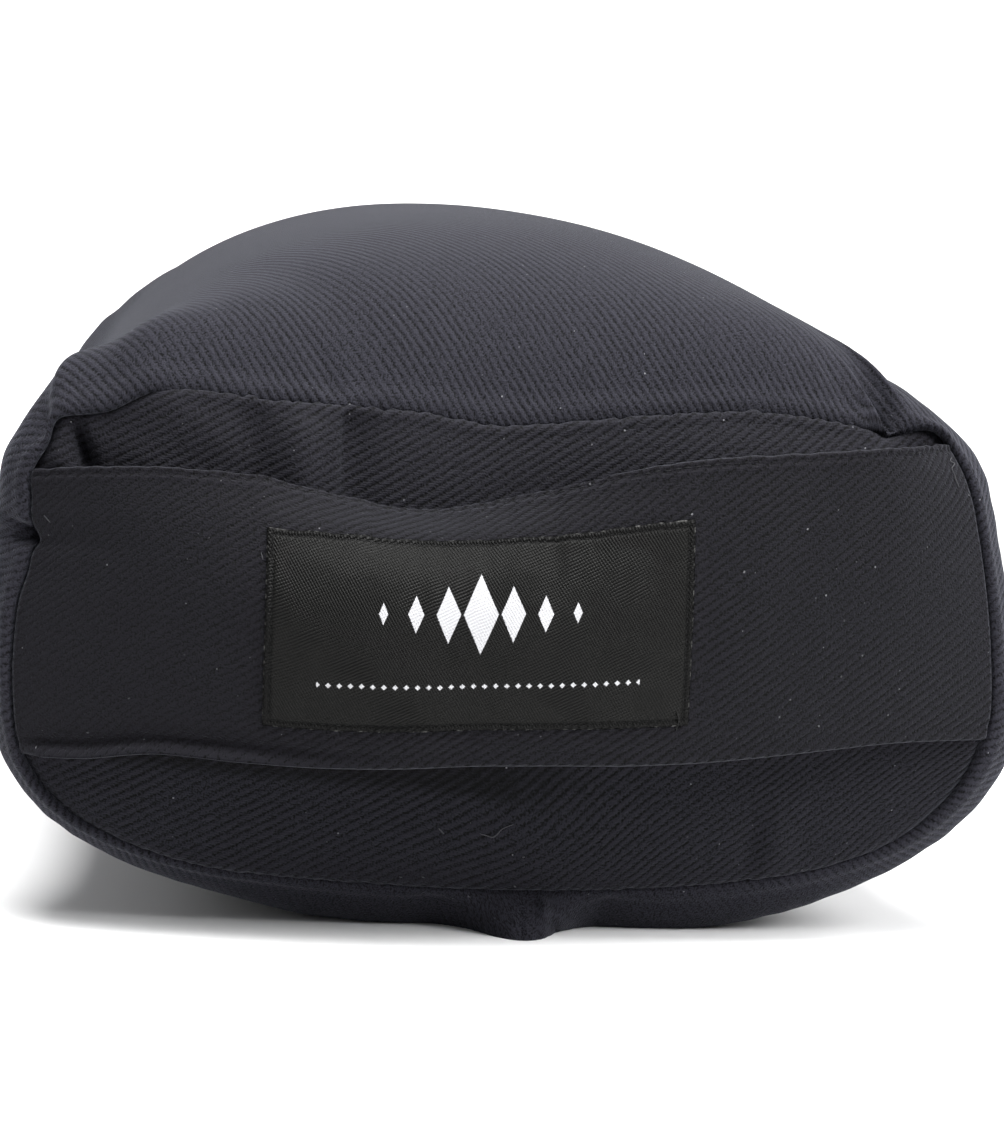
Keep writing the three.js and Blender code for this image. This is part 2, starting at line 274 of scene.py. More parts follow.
def cloth_grid(name: str, points: np.ndarray, cloth: np.ndarray) -> bpy.types.Object:
    """Lays a flat cut of cloth, moves its points to their places and closes its seams.

    Args:
        name: name of the new piece.
        points: rows of points in millimetres, shaped (rows, columns, 3).
        cloth: where each point lies on the flat cloth in millimetres, shaped (rows, columns, 2).

    Returns:
        The new piece, with coincident points merged and its faces turned outwards.
    """
    rows, columns = points.shape[:2]
    deselect()
    bpy.ops.mesh.primitive_grid_add(x_subdivisions=columns - 1, y_subdivisions=rows - 1, size=1)
    piece = bpy.context.object
    piece.name = piece.data.name = name
    mesh = piece.data
    mesh.vertices.foreach_set("co", (points * MM).ravel())
    corners = np.empty(len(mesh.loops), np.int32)
    mesh.loops.foreach_get("vertex_index", corners)
    uv_map = mesh.uv_layers.active
    uv_map.name = CLOTH_MAP
    uv_map.data.foreach_set("uv", (cloth * MM).reshape(-1, 2)[corners].ravel())
    with edit_mode():
        bpy.ops.mesh.remove_doubles(threshold=MERGE_DISTANCE * MM)
        bpy.ops.mesh.normals_make_consistent(inside=False)
    bpy.ops.object.shade_smooth()
    return piece


def thicken(piece: bpy.types.Object, thickness: float) -> None:
    """Gives an open sheet its thickness, behind its outer face."""
    activate(piece)
    wall = piece.modifiers.new("thickness", "SOLIDIFY")
    wall.thickness = thickness * MM
    wall.offset = -1
    bpy.ops.object.modifier_apply(modifier=wall.name)


def joined(pieces: Sequence[bpy.types.Object], name: str) -> bpy.types.Object:
    """Joins pieces into one and names it."""
    deselect()
    for piece in pieces:
        piece.select_set(True)
    bpy.context.view_layer.objects.active = pieces[0]
    bpy.ops.object.join()
    whole = bpy.context.object
    whole.name = whole.data.name = name
    bpy.ops.object.shade_smooth()
    return whole


def dress(piece: bpy.types.Object, material: bpy.types.Material, slot: str, *nodes: str) -> None:
    """Gives a piece its material and its place on the body.

    Args:
        piece: the piece.
        material: its material.
        slot: the record's material slot; not used.
        nodes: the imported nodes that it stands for.
    """
    piece.data.materials.clear()
    piece.data.materials.append(material)
    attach(piece, BODY)
    if nodes:
        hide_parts(*nodes)
    log.info("%s: %d faces", piece.name, len(piece.data.polygons))


# Shaders


class Value:
    """A shader socket that takes part in Python's arithmetic."""

    def __init__(self, shader: "Shader", socket: bpy.types.NodeSocket) -> None:
        """Wraps a socket of a shader."""
        self.shader = shader
        self.socket = socket

    def _math(self, operation: str, *inputs: "Value | float") -> "Value":
        """Adds a Math node on these inputs."""
        return self.shader.node("ShaderNodeMath", {"operation": operation}, dict(enumerate(inputs)))

    def __add__(self, other: "Value | float") -> "Value":
        """Sum."""
        return self._math("ADD", self, other)

    def __sub__(self, other: "Value | float") -> "Value":
        """Difference."""
        return self._math("SUBTRACT", self, other)

    def __rsub__(self, other: float) -> "Value":
        """Difference from a number."""
        return self._math("SUBTRACT", other, self)

    def __mul__(self, other: "Value | float") -> "Value":
        """Product."""
        return self._math("MULTIPLY", self, other)

    def __truediv__(self, other: "Value | float") -> "Value":
        """Quotient."""
        return self._math("DIVIDE", self, other)

    __radd__ = __add__
    __rmul__ = __mul__

    def floor(self) -> "Value":
        """The whole number below."""
        return self._math("FLOOR", self)

    def fraction(self) -> "Value":
        """What is above the whole number below."""
        return self._math("FRACT", self)

    def sine(self) -> "Value":
        """Sine of an angle in radians."""
        return self._math("SINE", self)

    def absolute(self) -> "Value":
        """Size without its sign."""
        return self._math("ABSOLUTE", self)

    def least(self, other: "Value | float") -> "Value":
        """The smaller of two."""
        return self._math("MINIMUM", self, other)

    def most(self, other: "Value | float") -> "Value":
        """The larger of two."""
        return self._math("MAXIMUM", self, other)

    def power(self, exponent: float) -> "Value":
        """A power: the square of any value, and another power of one that isn't negative."""
        if exponent == 2:
            return self._math("MULTIPLY", self, self)
        return self._math("POWER", self, exponent)

    def sibling(self, name: str) -> "Value":
        """Another output of the same node."""
        return Value(self.shader, self.socket.node.outputs[name])

    def ramp(self, low: float, high: float) -> "Value":
        """A soft step from 0 at low to 1 at high, or the reverse where low is above high."""
        if low > high:
            return 1 - self.ramp(high, low)
        inputs = {"Value": self, "From Min": low, "From Max": high}
        return self.shader.node("ShaderNodeMapRange", {"interpolation_type": "SMOOTHSTEP"}, inputs)


class Shader:
    """A material under construction."""

    def __init__(self, name: str) -> None:
        """Starts a material that holds a Principled BSDF alone."""
        self.material = bpy.data.materials.new(name)
        self.material.use_nodes = True
        self.tree = self.material.node_tree
        self.surface = self.tree.nodes["Principled BSDF"]

    def node(self, kind: str, settings: dict, inputs: dict, output: int | str = 0) -> Value:
        """Adds a node.

        Args:
            kind: its type.
            settings: properties that are set before its sockets.
            inputs: values or links of its sockets, by name or place.
            output: the output to return, by name or place.

        Returns:
            The output's value.
        """
        made = self.tree.nodes.new(kind)
        for name, setting in settings.items():
            setattr(made, name, setting)
        for name, given in inputs.items():
            if isinstance(given, Value):
                self.tree.links.new(given.socket, made.inputs[name])
            else:
                made.inputs[name].default_value = given
        return Value(self, made.outputs[output])

    def blend(self, share: Value, near: object, far: object) -> Value:
        """A colour between two, each a value or four numbers."""
        settings = {"data_type": "RGBA"}
        # Sockets 0, 6 and 7 of a colour mix are its factor and its two colours, and output 2 is the result.
        return self.node("ShaderNodeMix", settings, {0: share, 6: near, 7: far}, output=2)

    def toned(self, tone: Value, colour: Triple) -> Value:
        """A colour times a tone."""
        return self.blend(tone, rgba(colour, 0.0), rgba(colour))

    def noise(self, vector: Value, size: float, detail: float = 2.0) -> Value:
        """Soft noise round 0.5, its grain a size in millimetres where the vector is in metres."""
        inputs = {"Vector": vector, "Scale": 1 / (size * MM), "Detail": detail}
        return self.node("ShaderNodeTexNoise", {}, inputs)

    def random(self, x: Value, y: Value, z: float = 0.0) -> Value:
        """A random number from 0 to 1 for each pair of numbers."""
        vector = self.node("ShaderNodeCombineXYZ", {}, {"X": x, "Y": y, "Z": z})
        return self.node("ShaderNodeTexWhiteNoise", {"noise_dimensions": "3D"}, {"Vector": vector})

    def space(self) -> Value:
        """The place in space, as a vector in metres."""
        return self.node("ShaderNodeTexCoord", {}, {}, output="Object")

    def split(self, vector: Value) -> Value:
        """The X of a vector, with Y and Z as its siblings."""
        return self.node("ShaderNodeSeparateXYZ", {}, {"Vector": vector})

    def cloth(self) -> tuple[Value, Value, Value]:
        """The place on the flat cloth, as a vector and as its two coordinates in millimetres."""
        place = self.node("ShaderNodeUVMap", {"uv_map": CLOTH_MAP}, {})
        split = self.split(place)
        return place, split / MM, split.sibling("Y") / MM

    def finish(self, colour: Value, height: Value, relief: float, constants: dict) -> bpy.types.Material:
        """Feeds the surface.

        Args:
            colour: base colour.
            height: relief from 0 to 1.
            relief: depth of the relief in millimetres.
            constants: what is the same all over the surface, by the name of its socket.

        Returns:
            The material.
        """
        bump = self.node("ShaderNodeBump", {}, {"Strength": 1.0, "Distance": relief * MM, "Height": height})
        self.tree.links.new(bump.socket, self.surface.inputs["Normal"])
        self.tree.links.new(colour.socket, self.surface.inputs["Base Color"])
        for name, constant in constants.items():
            self.surface.inputs[name].default_value = constant
        return self.material


class Hand(Enum):
    """Which way the ribs of a twill climb as the warp runs to the right."""

    LEFT = -1
    RIGHT = 1


def rgba(colour: Triple, strength: float = 1.0) -> tuple[float, float, float, float]:
    """A colour times a strength, with full alpha."""
    return (*(part * strength for part in colour), 1.0)


@dataclass(frozen=True)
class WearAndShade:
    """A paler, fuzzy line where the cloth is rubbed, which on the strap's hem is partly painted highlight, or
    a darker line of painted shade where its amount is below 0.

    Across is its place, reach its half width, and until how far along the cloth it goes. Full is the share of
    its reach in which it is strongest, and fade is half the length over which it ends.
    """

    across: float
    reach: float
    amount: float
    until: float = 1000.0
    full: float = 0.3
    fade: float = 25.0

    def near(self, across: Value, along: Value) -> Value:
        """How near the line the cloth is, from 0 to 1."""
        beside = (across - self.across).absolute().ramp(self.reach, self.reach * self.full)
        return beside * along.ramp(self.until + self.fade, self.until - self.fade)


@dataclass(frozen=True)
class Twill:
    """Heavy cotton twill, three up and one down, brushed by use and with a little lint, its rib tops painted
    lighter as painted highlight and its pits painted darker as painted shade.

    Pitches, sizes and pits are lengths on the flat cloth. An edge is the pair of values between which a
    pattern fades in, a relief is how much of it goes into the height, and a tone how much goes into the
    brightness.
    """

    name: str
    colour: Triple
    ridge_highlight: float = 0.5
    pit_shade: float = 0.62
    sheen: float = 0.06
    wear_and_shade: tuple[WearAndShade, ...] = ()
    smooth_until: float = 0.0
    flat_below: float = 0.0
    hand: Hand = Hand.RIGHT
    repeat: int = 4
    warp_pitch: float = 0.728
    weft_pitch: float = 1.165
    dip_middle: float = 0.875
    pit_length: float = 0.66
    pit_width: float = 0.36
    pit_edge: Pair = (1.5, 0.1)
    pit_least: float = 0.3
    drift_size: float = 70.0
    sway_size: float = 9.0
    jitter_size: float = 2.2
    fuzz_size: float = 0.62
    curl_size: float = 1.5
    worn_size: float = 30.0
    yarn_wander: Triple = (2.0, 0.9, 0.7)
    pick_wander: Pair = (1.5, 1.0)
    line_power: float = 3.0
    streak_width: float = 1.6
    streak_length: float = 3.6
    streak_edge: Pair = (0.46, 0.66)
    worn_edge: Pair = (0.36, 0.66)
    smooth_edge: Pair = (1.3, 0.5)
    smooth_sway: float = 40.0
    smooth_worn: float = 1.5
    flat_edge: Pair = (1.25, 0.75)
    floor_shade: float = 1.8
    ridge_relief: float = 0.5
    thread_relief: float = 0.2
    line_relief: float = 0.25
    fuzz_relief: float = 0.7
    curl_relief: float = 0.5
    pit_relief: float = 0.25
    worn_and_shaded_flattens: float = 0.4
    base_tone: float = 0.72
    ridge_tone: float = 0.5
    bead_tone: float = 0.22
    fuzz_tone: float = 2.6
    worn_and_shaded_fuzz_tone: float = 1.2
    curl_tone: float = 1.4
    worn_and_shaded_tone: float = 0.25
    worn_and_shaded_darkens: float = 0.35
    mark_wander: Pair = (0.8, 30.0)
    mark_fuzz_tone: float = 6.0
    least_tone: float = 0.08
    fleck_pitch: float = 3.4
    fleck_wander: float = 0.4
    fleck_edge: Pair = (0.075, 0.03)
    fleck_share: Pair = (0.965, 1.0)
    lint: float = 0.4
    lint_colour: Triple = (0.30, 0.30, 0.32)
    sheen_tint: Triple = (0.80, 0.84, 1.0)
    sheen_roughness: float = 0.4
    specular: float = 0.12
    relief: float = 0.40
    roughness: float = 0.88

    def material(self) -> bpy.types.Material:
        """Builds the twill's material."""
        shader = Shader(self.name)
        place, along, across = shader.cloth()
        drift = shader.noise(place, self.drift_size) - 0.5
        sway = shader.noise(place, self.sway_size) - 0.5
        jitter = shader.noise(place, self.jitter_size, 1.0) - 0.5
        by_drift, by_sway, by_jitter = self.yarn_wander
        yarn = (across + drift * by_drift + sway * by_sway + jitter * by_jitter) / self.warp_pitch
        by_drift, by_jitter = self.pick_wander
        pick = (along + drift * by_drift + jitter * by_jitter) / self.weft_pitch
        row = yarn.floor()
        rib = (pick - yarn * self.hand.value) / self.repeat
        lap = (pick - row * self.hand.value) / self.repeat
        strand = yarn.fraction() - 0.5
        ridge = (rib * (2 * math.pi)).sine() * 0.5 + 0.5
        bead = shader.random(row, lap.floor())
        # Each warp yarn dips under one weft yarn in four, and leaves a pit there.
        dip = (lap.fraction() - self.dip_middle) * (self.repeat * self.weft_pitch / self.pit_length)
        pit = (dip.power(2) + (strand * (self.warp_pitch / self.pit_width)).power(2)).ramp(*self.pit_edge)
        pit = pit * (bead * (1 - self.pit_least) + self.pit_least)
        thread = (1 - (strand * 2).power(2)) * (1 - pit)
        slope = math.atan2(self.warp_pitch, self.weft_pitch)
        down_rib = along * math.cos(slope) + across * (math.sin(slope) * self.hand.value)
        ribs = {"X": rib * self.streak_width, "Y": down_rib / self.streak_length}
        streak = shader.noise(shader.node("ShaderNodeCombineXYZ", {}, ribs), 1 / MM).ramp(*self.streak_edge)
        line = ridge.power(self.line_power) * streak
        fuzz = shader.noise(place, self.fuzz_size) - 0.5
        curls = shader.noise(place, self.curl_size, 3.0) - 0.5
        worn_and_shaded = self.worn_and_shaded(shader, place, along, sway)
        height = ridge * self.ridge_relief + thread * self.thread_relief + line * self.line_relief
        height = height * (1 - worn_and_shaded * self.worn_and_shaded_flattens) + fuzz * self.fuzz_relief
        height = height + curls * self.curl_relief - pit * self.pit_relief
        # Along the ribs the tone rises to a painted highlight on their tops and falls to painted shade in the
        # pits.
        tone = self.base_tone + (ridge - 0.5) * self.ridge_tone + line * self.ridge_highlight
        tone = tone + (bead - 0.5) * self.bead_tone - pit * self.pit_shade
        tone = tone * (1 - worn_and_shaded * self.worn_and_shaded_darkens) + worn_and_shaded * self.worn_and_shaded_tone
        tone = tone + fuzz * (self.fuzz_tone + worn_and_shaded * self.worn_and_shaded_fuzz_tone) + curls * self.curl_tone
        # Paler lines brighten and fray the cloth; darker lines are painted shade.
        for edge_mark in self.wear_and_shade:
            near = edge_mark.near(across + fuzz * self.mark_wander[0], along + sway * self.mark_wander[1])
            frayed = near * (curls + fuzz).most(0) * (edge_mark.amount * self.mark_fuzz_tone)
            tone = tone * (1 + near * edge_mark.amount) + frayed
        colour = shader.toned(tone.most(self.least_tone), self.colour)
        colour = shader.blend(self.flecks(shader, place, curls), colour, rgba(self.lint_colour))
        constants = {
            "Roughness": self.roughness,
            "Specular IOR Level": self.specular,
            "Sheen Weight": self.sheen,
            "Sheen Roughness": self.sheen_roughness,
            "Sheen Tint": rgba(self.sheen_tint),
        }
        return shader.finish(colour, height, self.relief, constants)

    def worn_and_shaded(self, shader: Shader, place: Value, along: Value, sway: Value) -> Value:
        """Where the ribs are evened out: rubbed in patches and all over where the cloth is smooth, and near
        the floor as painted shade.
        """
        worn_and_shaded = shader.noise(place, self.worn_size, 3.0).ramp(*self.worn_edge)
        if self.smooth_until:
            edge = (self.smooth_until * share for share in self.smooth_edge)
            worn_and_shaded = worn_and_shaded.most((along + sway * self.smooth_sway).ramp(*edge) * self.smooth_worn)
        # Near the floor the weave's tone is evened out and its relief flattened: painted shade under the
        # tube.
        if self.flat_below:
            edge = (self.flat_below * share for share in self.flat_edge)
            level = shader.split(shader.space()).sibling("Z") / MM
            worn_and_shaded = worn_and_shaded.most(level.ramp(*edge) * self.floor_shade)
        return worn_and_shaded

    def flecks(self, shader: Shader, place: Value, curls: Value) -> Value:
        """How much a few scattered specks of lint show."""
        cells = {"Vector": place, "Scale": 1 / (self.fleck_pitch * MM), "Randomness": 1.0}
        fleck = shader.node("ShaderNodeTexVoronoi", {"voronoi_dimensions": "2D"}, cells, output="Distance")
        drawn = shader.node("ShaderNodeSeparateColor", {}, {"Color": fleck.sibling("Color")})
        shown = (fleck + curls * self.fleck_wander).ramp(*self.fleck_edge)
        return shown * drawn.ramp(*self.fleck_share) * self.lint


@dataclass(frozen=True)
class Satin:
    """Black woven label satin with a plain graded row of lozenges and a row of dots in pale thread."""

    name: str
    width: float
    height: float
    colour: Triple = (0.0056, 0.0056, 0.0051)
    pale: Triple = (0.46, 0.46, 0.475)
    frayed: Triple = (0.22, 0.22, 0.21)
    first_pitch: float = 0.95
    first_angle: float = 24.0
    second_pitch: float = 0.8
    second_angle: float = -60.0
    share_size: float = 26.0
    fuzz_size: float = 0.6
    fray_size: float = 2.6
    lozenge_middle: float = 0.60
    lozenge_pitch: float = 9.6
    lozenge_heights: tuple[float, ...] = (12.5, 8.8, 5.8, 3.4)
    lozenge_slim: float = 0.42
    dots_middle: float = 0.235
    dots_pitch: float = 3.3
    dots_reach: float = 48.0
    dot_size: float = 0.95
    lozenge_edge: Triple = (-0.02, 0.02, 0.3)
    dot_edge: Pair = (-0.1, 0.35)
    dots_fade: float = 0.2
    margin: float = 2.0
    share_edge: Pair = (0.4, 0.62)
    share_swing: float = 0.6
    first_least: float = 0.3
    second_most: float = 0.8
    field_edge: Pair = (0.1, 0.7)
    groove_edge: Pair = (0.5, 0.1)
    fray_edge: Pair = (0.5, 0.15)
    fray_patches: Pair = (0.5, 0.66)
    pale_least: float = 0.78
    bare_tone: float = 0.02
    rim_tone: float = 0.4
    field_tone: float = 4.2
    fuzz_tone: float = 2.6
    least_tone: float = 0.1
    groove_tone: float = 0.85
    fray_share: float = 0.3
    wobble: float = 0.25
    motif_relief: float = 0.8
    fuzz_relief: float = 0.3
    relief: float = 0.2
    roughness: float = 0.42
    specular: float = 0.085

    def lines(self, along: Value, across: Value, pitch: float, angle: float) -> Value:
        """Fine lines at an angle in degrees, from 0 to 1."""
        tilt = math.radians(angle)
        return ((across * math.cos(tilt) - along * math.sin(tilt)) * (2 * math.pi / pitch)).sine() * 0.5 + 0.5

    def motif(self, along: Value, across: Value) -> Value:
        """1 where the pale thread shows."""
        x = (along - self.width / 2).absolute()
        z = (across - self.height * self.lozenge_middle).absolute()
        shown = 0.0
        for place, tall in enumerate(self.lozenge_heights):
            aside = (x - place * self.lozenge_pitch).absolute()
            inside = 1 - aside / (tall * self.lozenge_slim) - z / tall
            outer, inner, blur = self.lozenge_edge
            shown = inside.ramp(outer, inner + blur / tall) + shown
        low = (across - self.height * self.dots_middle).absolute()
        aside = ((along - self.width / 2) / self.dots_pitch).fraction() - 0.5
        dot = 1 - (aside.absolute() * self.dots_pitch + low) / self.dot_size
        dots = dot.ramp(*self.dot_edge) * x.ramp(self.dots_reach + self.dots_fade, self.dots_reach)
        return (shown + dots).least(1.0)

    def material(self) -> bpy.types.Material:
        """Builds the label's material."""
        shader = Shader(self.name)
        place, along, across = shader.cloth()
        first = self.lines(along, across, self.first_pitch, self.first_angle)
        second = self.lines(along, across, self.second_pitch, self.second_angle)
        share = shader.noise(place, self.share_size).ramp(*self.share_edge)
        first = first.power(2) * (share * self.share_swing + self.first_least)
        weave = first + second.power(2) * (self.second_most - share * self.share_swing)
        fuzz = shader.noise(place, self.fuzz_size)
        beside, above = (
            (where - size / 2).absolute() * -1 + size / 2
            for where, size in ((along, self.width), (across, self.height))
        )
        inside = beside.least(above)
        field_share = inside.ramp(*(self.margin + edge for edge in self.field_edge))
        tone = self.bare_tone + weave.power(2) * (self.rim_tone + field_share * self.field_tone)
        tone = tone + (fuzz - 0.5) * self.fuzz_tone
        # Along the stitched groove the satin is painted darker: painted shade in the groove.
        groove = (inside - self.margin).absolute().ramp(*self.groove_edge)
        tone = tone * (1 - groove * self.groove_tone)
        colour = shader.toned(tone.most(self.least_tone), self.colour)
        wobble = (fuzz - 0.5) * self.wobble
        patches = shader.noise(place, self.fray_size, 3.0).ramp(*self.fray_patches)
        frayed = (inside + wobble).ramp(*self.fray_edge) * patches
        colour = shader.blend(frayed * self.fray_share, colour, rgba(self.frayed))
        shown = self.motif(along + wobble, across + wobble)
        pale = shader.toned(self.pale_least + weave * (1 - self.pale_least), self.pale)
        colour = shader.blend(shown, colour, pale)
        height = weave * (1 - shown * 0.5) + shown * self.motif_relief + fuzz * self.fuzz_relief
        constants = {"Roughness": self.roughness, "Specular IOR Level": self.specular}
        return shader.finish(colour, height, self.relief, constants)


@dataclass(frozen=True)
class Thread:
    """Sewing thread, dark and slightly glossy."""

    name: str
    colour: Triple
    ply: float = 0.35
    relief: float = 0.08
    roughness: float = 0.6
    specular: float = 0.15

    def material(self) -> bpy.types.Material:
        """Builds the thread's material."""
        shader = Shader(self.name)
        twist = shader.noise(shader.space(), self.ply)
        constants = {"Roughness": self.roughness, "Specular IOR Level": self.specular}
        return shader.finish(shader.toned(0.5 + twist, self.colour), twist, self.relief, constants)


@dataclass(frozen=True)
class Paper:
    """The plain pale floor, which turns paler between two distances behind the bolster, in metres."""

    name: str = "floor_paper"
    near: Triple = (0.82, 0.82, 0.823)
    far: Triple = (0.9, 0.9, 0.9)
    near_until: float = 0.6
    far_from: float = 2.0
    grain: float = 1 / 0.9
    relief: float = 0.02
    roughness: float = 0.75

    def material(self) -> bpy.types.Material:
        """Builds the floor's material."""
        shader = Shader(self.name)
        place = shader.space()
        back = shader.split(place).sibling("Y").ramp(self.near_until, self.far_from)
        colour = shader.blend(back, rgba(self.near), rgba(self.far))
        grain = shader.noise(place, self.grain)
        return shader.finish(colour, grain, self.relief, {"Roughness": self.roughness})


# Sizes that pieces share, and the finishes of this bolster


STRAP_WIDTH = 92.0
PANEL_THICKNESS = 1.5
STITCH_IN = 2.0

# The panel's and the strap's colours are the tube's twill painted darker: painted shade on these upright
# faces.
TUBE_COLOUR, PANEL_SHADED_COLOUR, STRAP_SHADED_COLOUR = (
    (0.0164, 0.0162, 0.0220),
    (0.0106, 0.0103, 0.0139),
    (0.0066, 0.0063, 0.0086),
)
TUBE_TWILL = Twill("tube_twill", TUBE_COLOUR, ridge_highlight=0.65, pit_shade=0.34, sheen=0.066, flat_below=17.0)
# The panel's darker line just under the strap's lower edge is a painted shadow of the strap.
PANEL_TWILL = Twill("panel_twill", PANEL_SHADED_COLOUR, wear_and_shade=(WearAndShade(52.5, 8.0, -0.5, 15.0),))
STRAP_WEAR_AND_SHADE = (
    # Along the hem at the lower left the cloth is paler and fuzzy: rubbed, and partly a painted highlight on
    # the hem's upturned roll.
    WearAndShade(0.9, 2.6, 1.0, 105.0),
    # Along the strap's lower edge the cloth is painted darker: painted shade.
    WearAndShade(0.1, 0.7, -0.2),
    WearAndShade(STRAP_WIDTH - 0.3, 0.9, 0.7),
    WearAndShade(STRAP_WIDTH - 3.6, 0.9, 0.6, 240.0),
    WearAndShade(2 * STRAP_WIDTH, 1.6, 0.3, 105.0),
)
STRAP_TWILL = Twill("strap_twill", STRAP_SHADED_COLOUR, wear_and_shade=STRAP_WEAR_AND_SHADE, smooth_until=95.0)
STRAP_THREAD = Thread("dark_thread", (0.006, 0.006, 0.0075))
LABEL_THREAD = Thread("label_thread", (0.004, 0.004, 0.004))
PALE_THREAD = Thread("pale_thread", (0.036, 0.036, 0.04))


# The bolster's own shapes


class End(Enum):
    """An end of the bolster, by the sign of its Y."""

    FRONT = -1
    BACK = 1


@dataclass(frozen=True)
class Fold:
    """A fold of the tube's cloth at a seam.

    Around is a share of the seam from its bottom middle, lean is how far it moves round for each millimetre
    back, width is its half width and peak where it is deepest. A negative depth is a ridge, and far is the
    half width on the side of greater shares, as a share of the other one.
    """

    name: str
    around: float
    lean: float
    width: float
    peak: float
    depth: float
    far: float = 1.0

    def profile(self, aside: np.ndarray) -> np.ndarray:
        """Its depth from 0 to 1 at distances to its side."""
        return bell(aside / np.where(aside > 0, self.width * self.far, self.width))


@dataclass(frozen=True)
class Dent:
    """A fold or hollow of the front panel.

    Forward is towards the viewer, lean is how far it moves in x as z grows, and right is the half width on
    its right, as a share of the one on its left.
    """

    name: str
    x: float
    z: float
    width: float
    height: float
    forward: float
    lean: float = 0.0
    right: float = 1.0

    def rise(self, x: np.ndarray, z: np.ndarray) -> np.ndarray:
        """How far it stands forward at points of the panel."""
        aside = x - self.x - self.lean * (z - self.z)
        across = bell(aside / np.where(aside > 0, self.width * self.right, self.width))
        return self.forward * across * bell((z - self.z) / self.height)


@dataclass(frozen=True)
class Nudge:
    """A corner or kink of the seam, at a share of the way round it: inward where outward is negative."""

    name: str
    around: float
    width: float
    outward: float


@dataclass(frozen=True)
class Station:
    """The strap's lower and upper edge at a place along it, and how far its top leans back, in degrees."""

    x: float
    low: float
    top: float
    curl: float


@dataclass(frozen=True)
class SeamSet:
    """How the two cloths meet along the front seam, at a share of the way round it.

    The tube's cloth is set back by one distance, which fades behind the seam, and the panel's edge bulges out
    over the seam and rolls in over a width and to a depth.
    """

    around: float
    tube_back: float
    roll_width: float
    roll_depth: float
    roll_out: float
    fade: float = 14.0


@dataclass(frozen=True)
class Detail:
    """A place round the seam where points lie closer together, by this much more than elsewhere."""

    around: float
    width: float
    extra: float


@dataclass(frozen=True)
class Nose:
    """A point of the roll with which the tube's cloth leaves the seam."""

    distance: float
    outward: float
    forward: float


TUBE_FOLDS = (
    Fold("streak down the tuft", 0.0035, 0, 1.1, 5, -1.8),
    Fold("crease in the tuft", 0.0115, 0.0009, 1.8, 2.8, 4.6),
    Fold("crease right of the tuft", 0.038, 0, 9, 6, 2.5),
    Fold("fullness at the lower right", 0.205, 0, 34, 12, -4.6),
    Fold("fullness below the right corner", 0.300, 0, 12, 10, -0.5),
    Fold("right corner pulled in", 0.328, 0, 9, 16, 3.6),
    Fold("edge of the pleat", 0.3408, 0.0008, 4.4, 9, -4.6, 0.4),
    Fold("corner pleat", 0.3476, 0.0011, 1.9, 2.8, 8.5, 0.45),
    Fold("gather inside the pleat", 0.3468, 0.0011, 0.5, 3, -2.4),
    Fold("flap left of the pleat", 0.3508, 0.0011, 2.0, 3.5, -2.0),
    Fold("second fold of the pleat", 0.3600, 0.0012, 2.4, 7, 0.8),
    Fold("fullness left of the pleat", 0.382, 0, 34, 26, -4.4),
    Fold("valley on the dome", 0.548, 0.0006, 14, 22, 2.2),
    Fold("pucker above the panel's fold", 0.557, 0.0012, 5, 4, 1.8),
    Fold("overhang at the top left", 0.632, 0, 26, 11, -4),
    Fold("fullness at the left shoulder", 0.657, 0, 6, 17, -2.6),
    Fold("crease at the left shoulder", 0.672, -0.0004, 5, 6, 5),
    Fold("fullness of the left side", 0.715, 0, 38, 16, -3.6),
    Fold("fullness behind the left kink", 0.712, 0, 4.5, 13, -2.4),
    Fold("crease at the left kink", 0.712, 0, 5, 2.5, 3),
    Fold("lift under the lower left", 0.9, 0, 42, 16, 4.5),
    Fold("crease left of the tuft", 0.972, 0, 9, 6, 2.5),
)

BACK_FOLDS = (
    Fold("fullness of the far left flank", 0.640, 0, 16, 30, -1.4),
    Fold("far shoulder pulled in", 0.663, 0, 9, 18, 3.8),
)

PANEL_DENTS = (
    Dent("hollow left of the fold", -80.5, 148, 6.5, 22, -3.2),
    Dent("fold beside the hollow", -65, 150, 7.5, 30, 4.6, 0, 1.0),
    Dent("hollow right of the fold", -52.4, 148, 1.5, 30, -4.0, 0, 6.5),
    Dent("fullness above the strap on the right", 92, 150, 46, 12, 4.0),
    Dent("slack beside the left shoulder", -122, 148, 12, 18, -1.5),
    Dent("pocket beside the left shoulder", -131.5, 147, 2.4, 12, -7, -0.3),
    Dent("fold that covers the pocket", -140.5, 149, 4.6, 12, 5, -0.3),
    Dent("pucker low on the right", 78, 30, 4, 12, -1.5),
    Dent("swell beside the pucker", 86, 32, 6, 14, 1.2),
)

SEAM_NUDGES = (
    Nudge("top of the seam", 0.49, 110, -0.7),
    Nudge("top right corner", 0.333, 6, 2.0),
    Nudge("pull of the corner pleat", 0.347, 4, -1.2),
    Nudge("peak left of the dome", 0.629, 6, 1.3),
    Nudge("under the overhang", 0.647, 7, -1.8),
    Nudge("left shoulder", 0.666, 5, 3.2),
    Nudge("side above the kink", 0.690, 8, 1.9),
    Nudge("above the left kink", 0.702, 4, 0.8),
    Nudge("left kink", 0.712, 3.2, -2.6),
    Nudge("below the left kink", 0.723, 7, -1.4),
)

MIDDLE_NUDGES = (
    Nudge("right flank of the dome", 0.415, 38, -0.3),
    Nudge("left flank of the dome", 0.578, 44, -0.8),
)

STRAP_STATIONS = (
    Station(-152, 54.5, 142.5, 0),
    Station(-132, 55.5, 144.5, 2),
    Station(-105, 59, 145.5, 10),
    Station(-80, 58, 144.5, 24),
    Station(-58, 57, 139, 50),
    Station(-30, 58, 134.5, 62),
    Station(-6, 59.5, 138.5, 50),
    Station(25, 60, 147, 22),
    Station(52, 60.5, 153, 6),
    Station(92, 63.5, 156, 2),
    Station(125, 65.5, 157.5, 0),
    Station(152, 65, 158, 0),
)

STRAP_LEFT, STRAP_RIGHT = STRAP_STATIONS[0].x, STRAP_STATIONS[-1].x

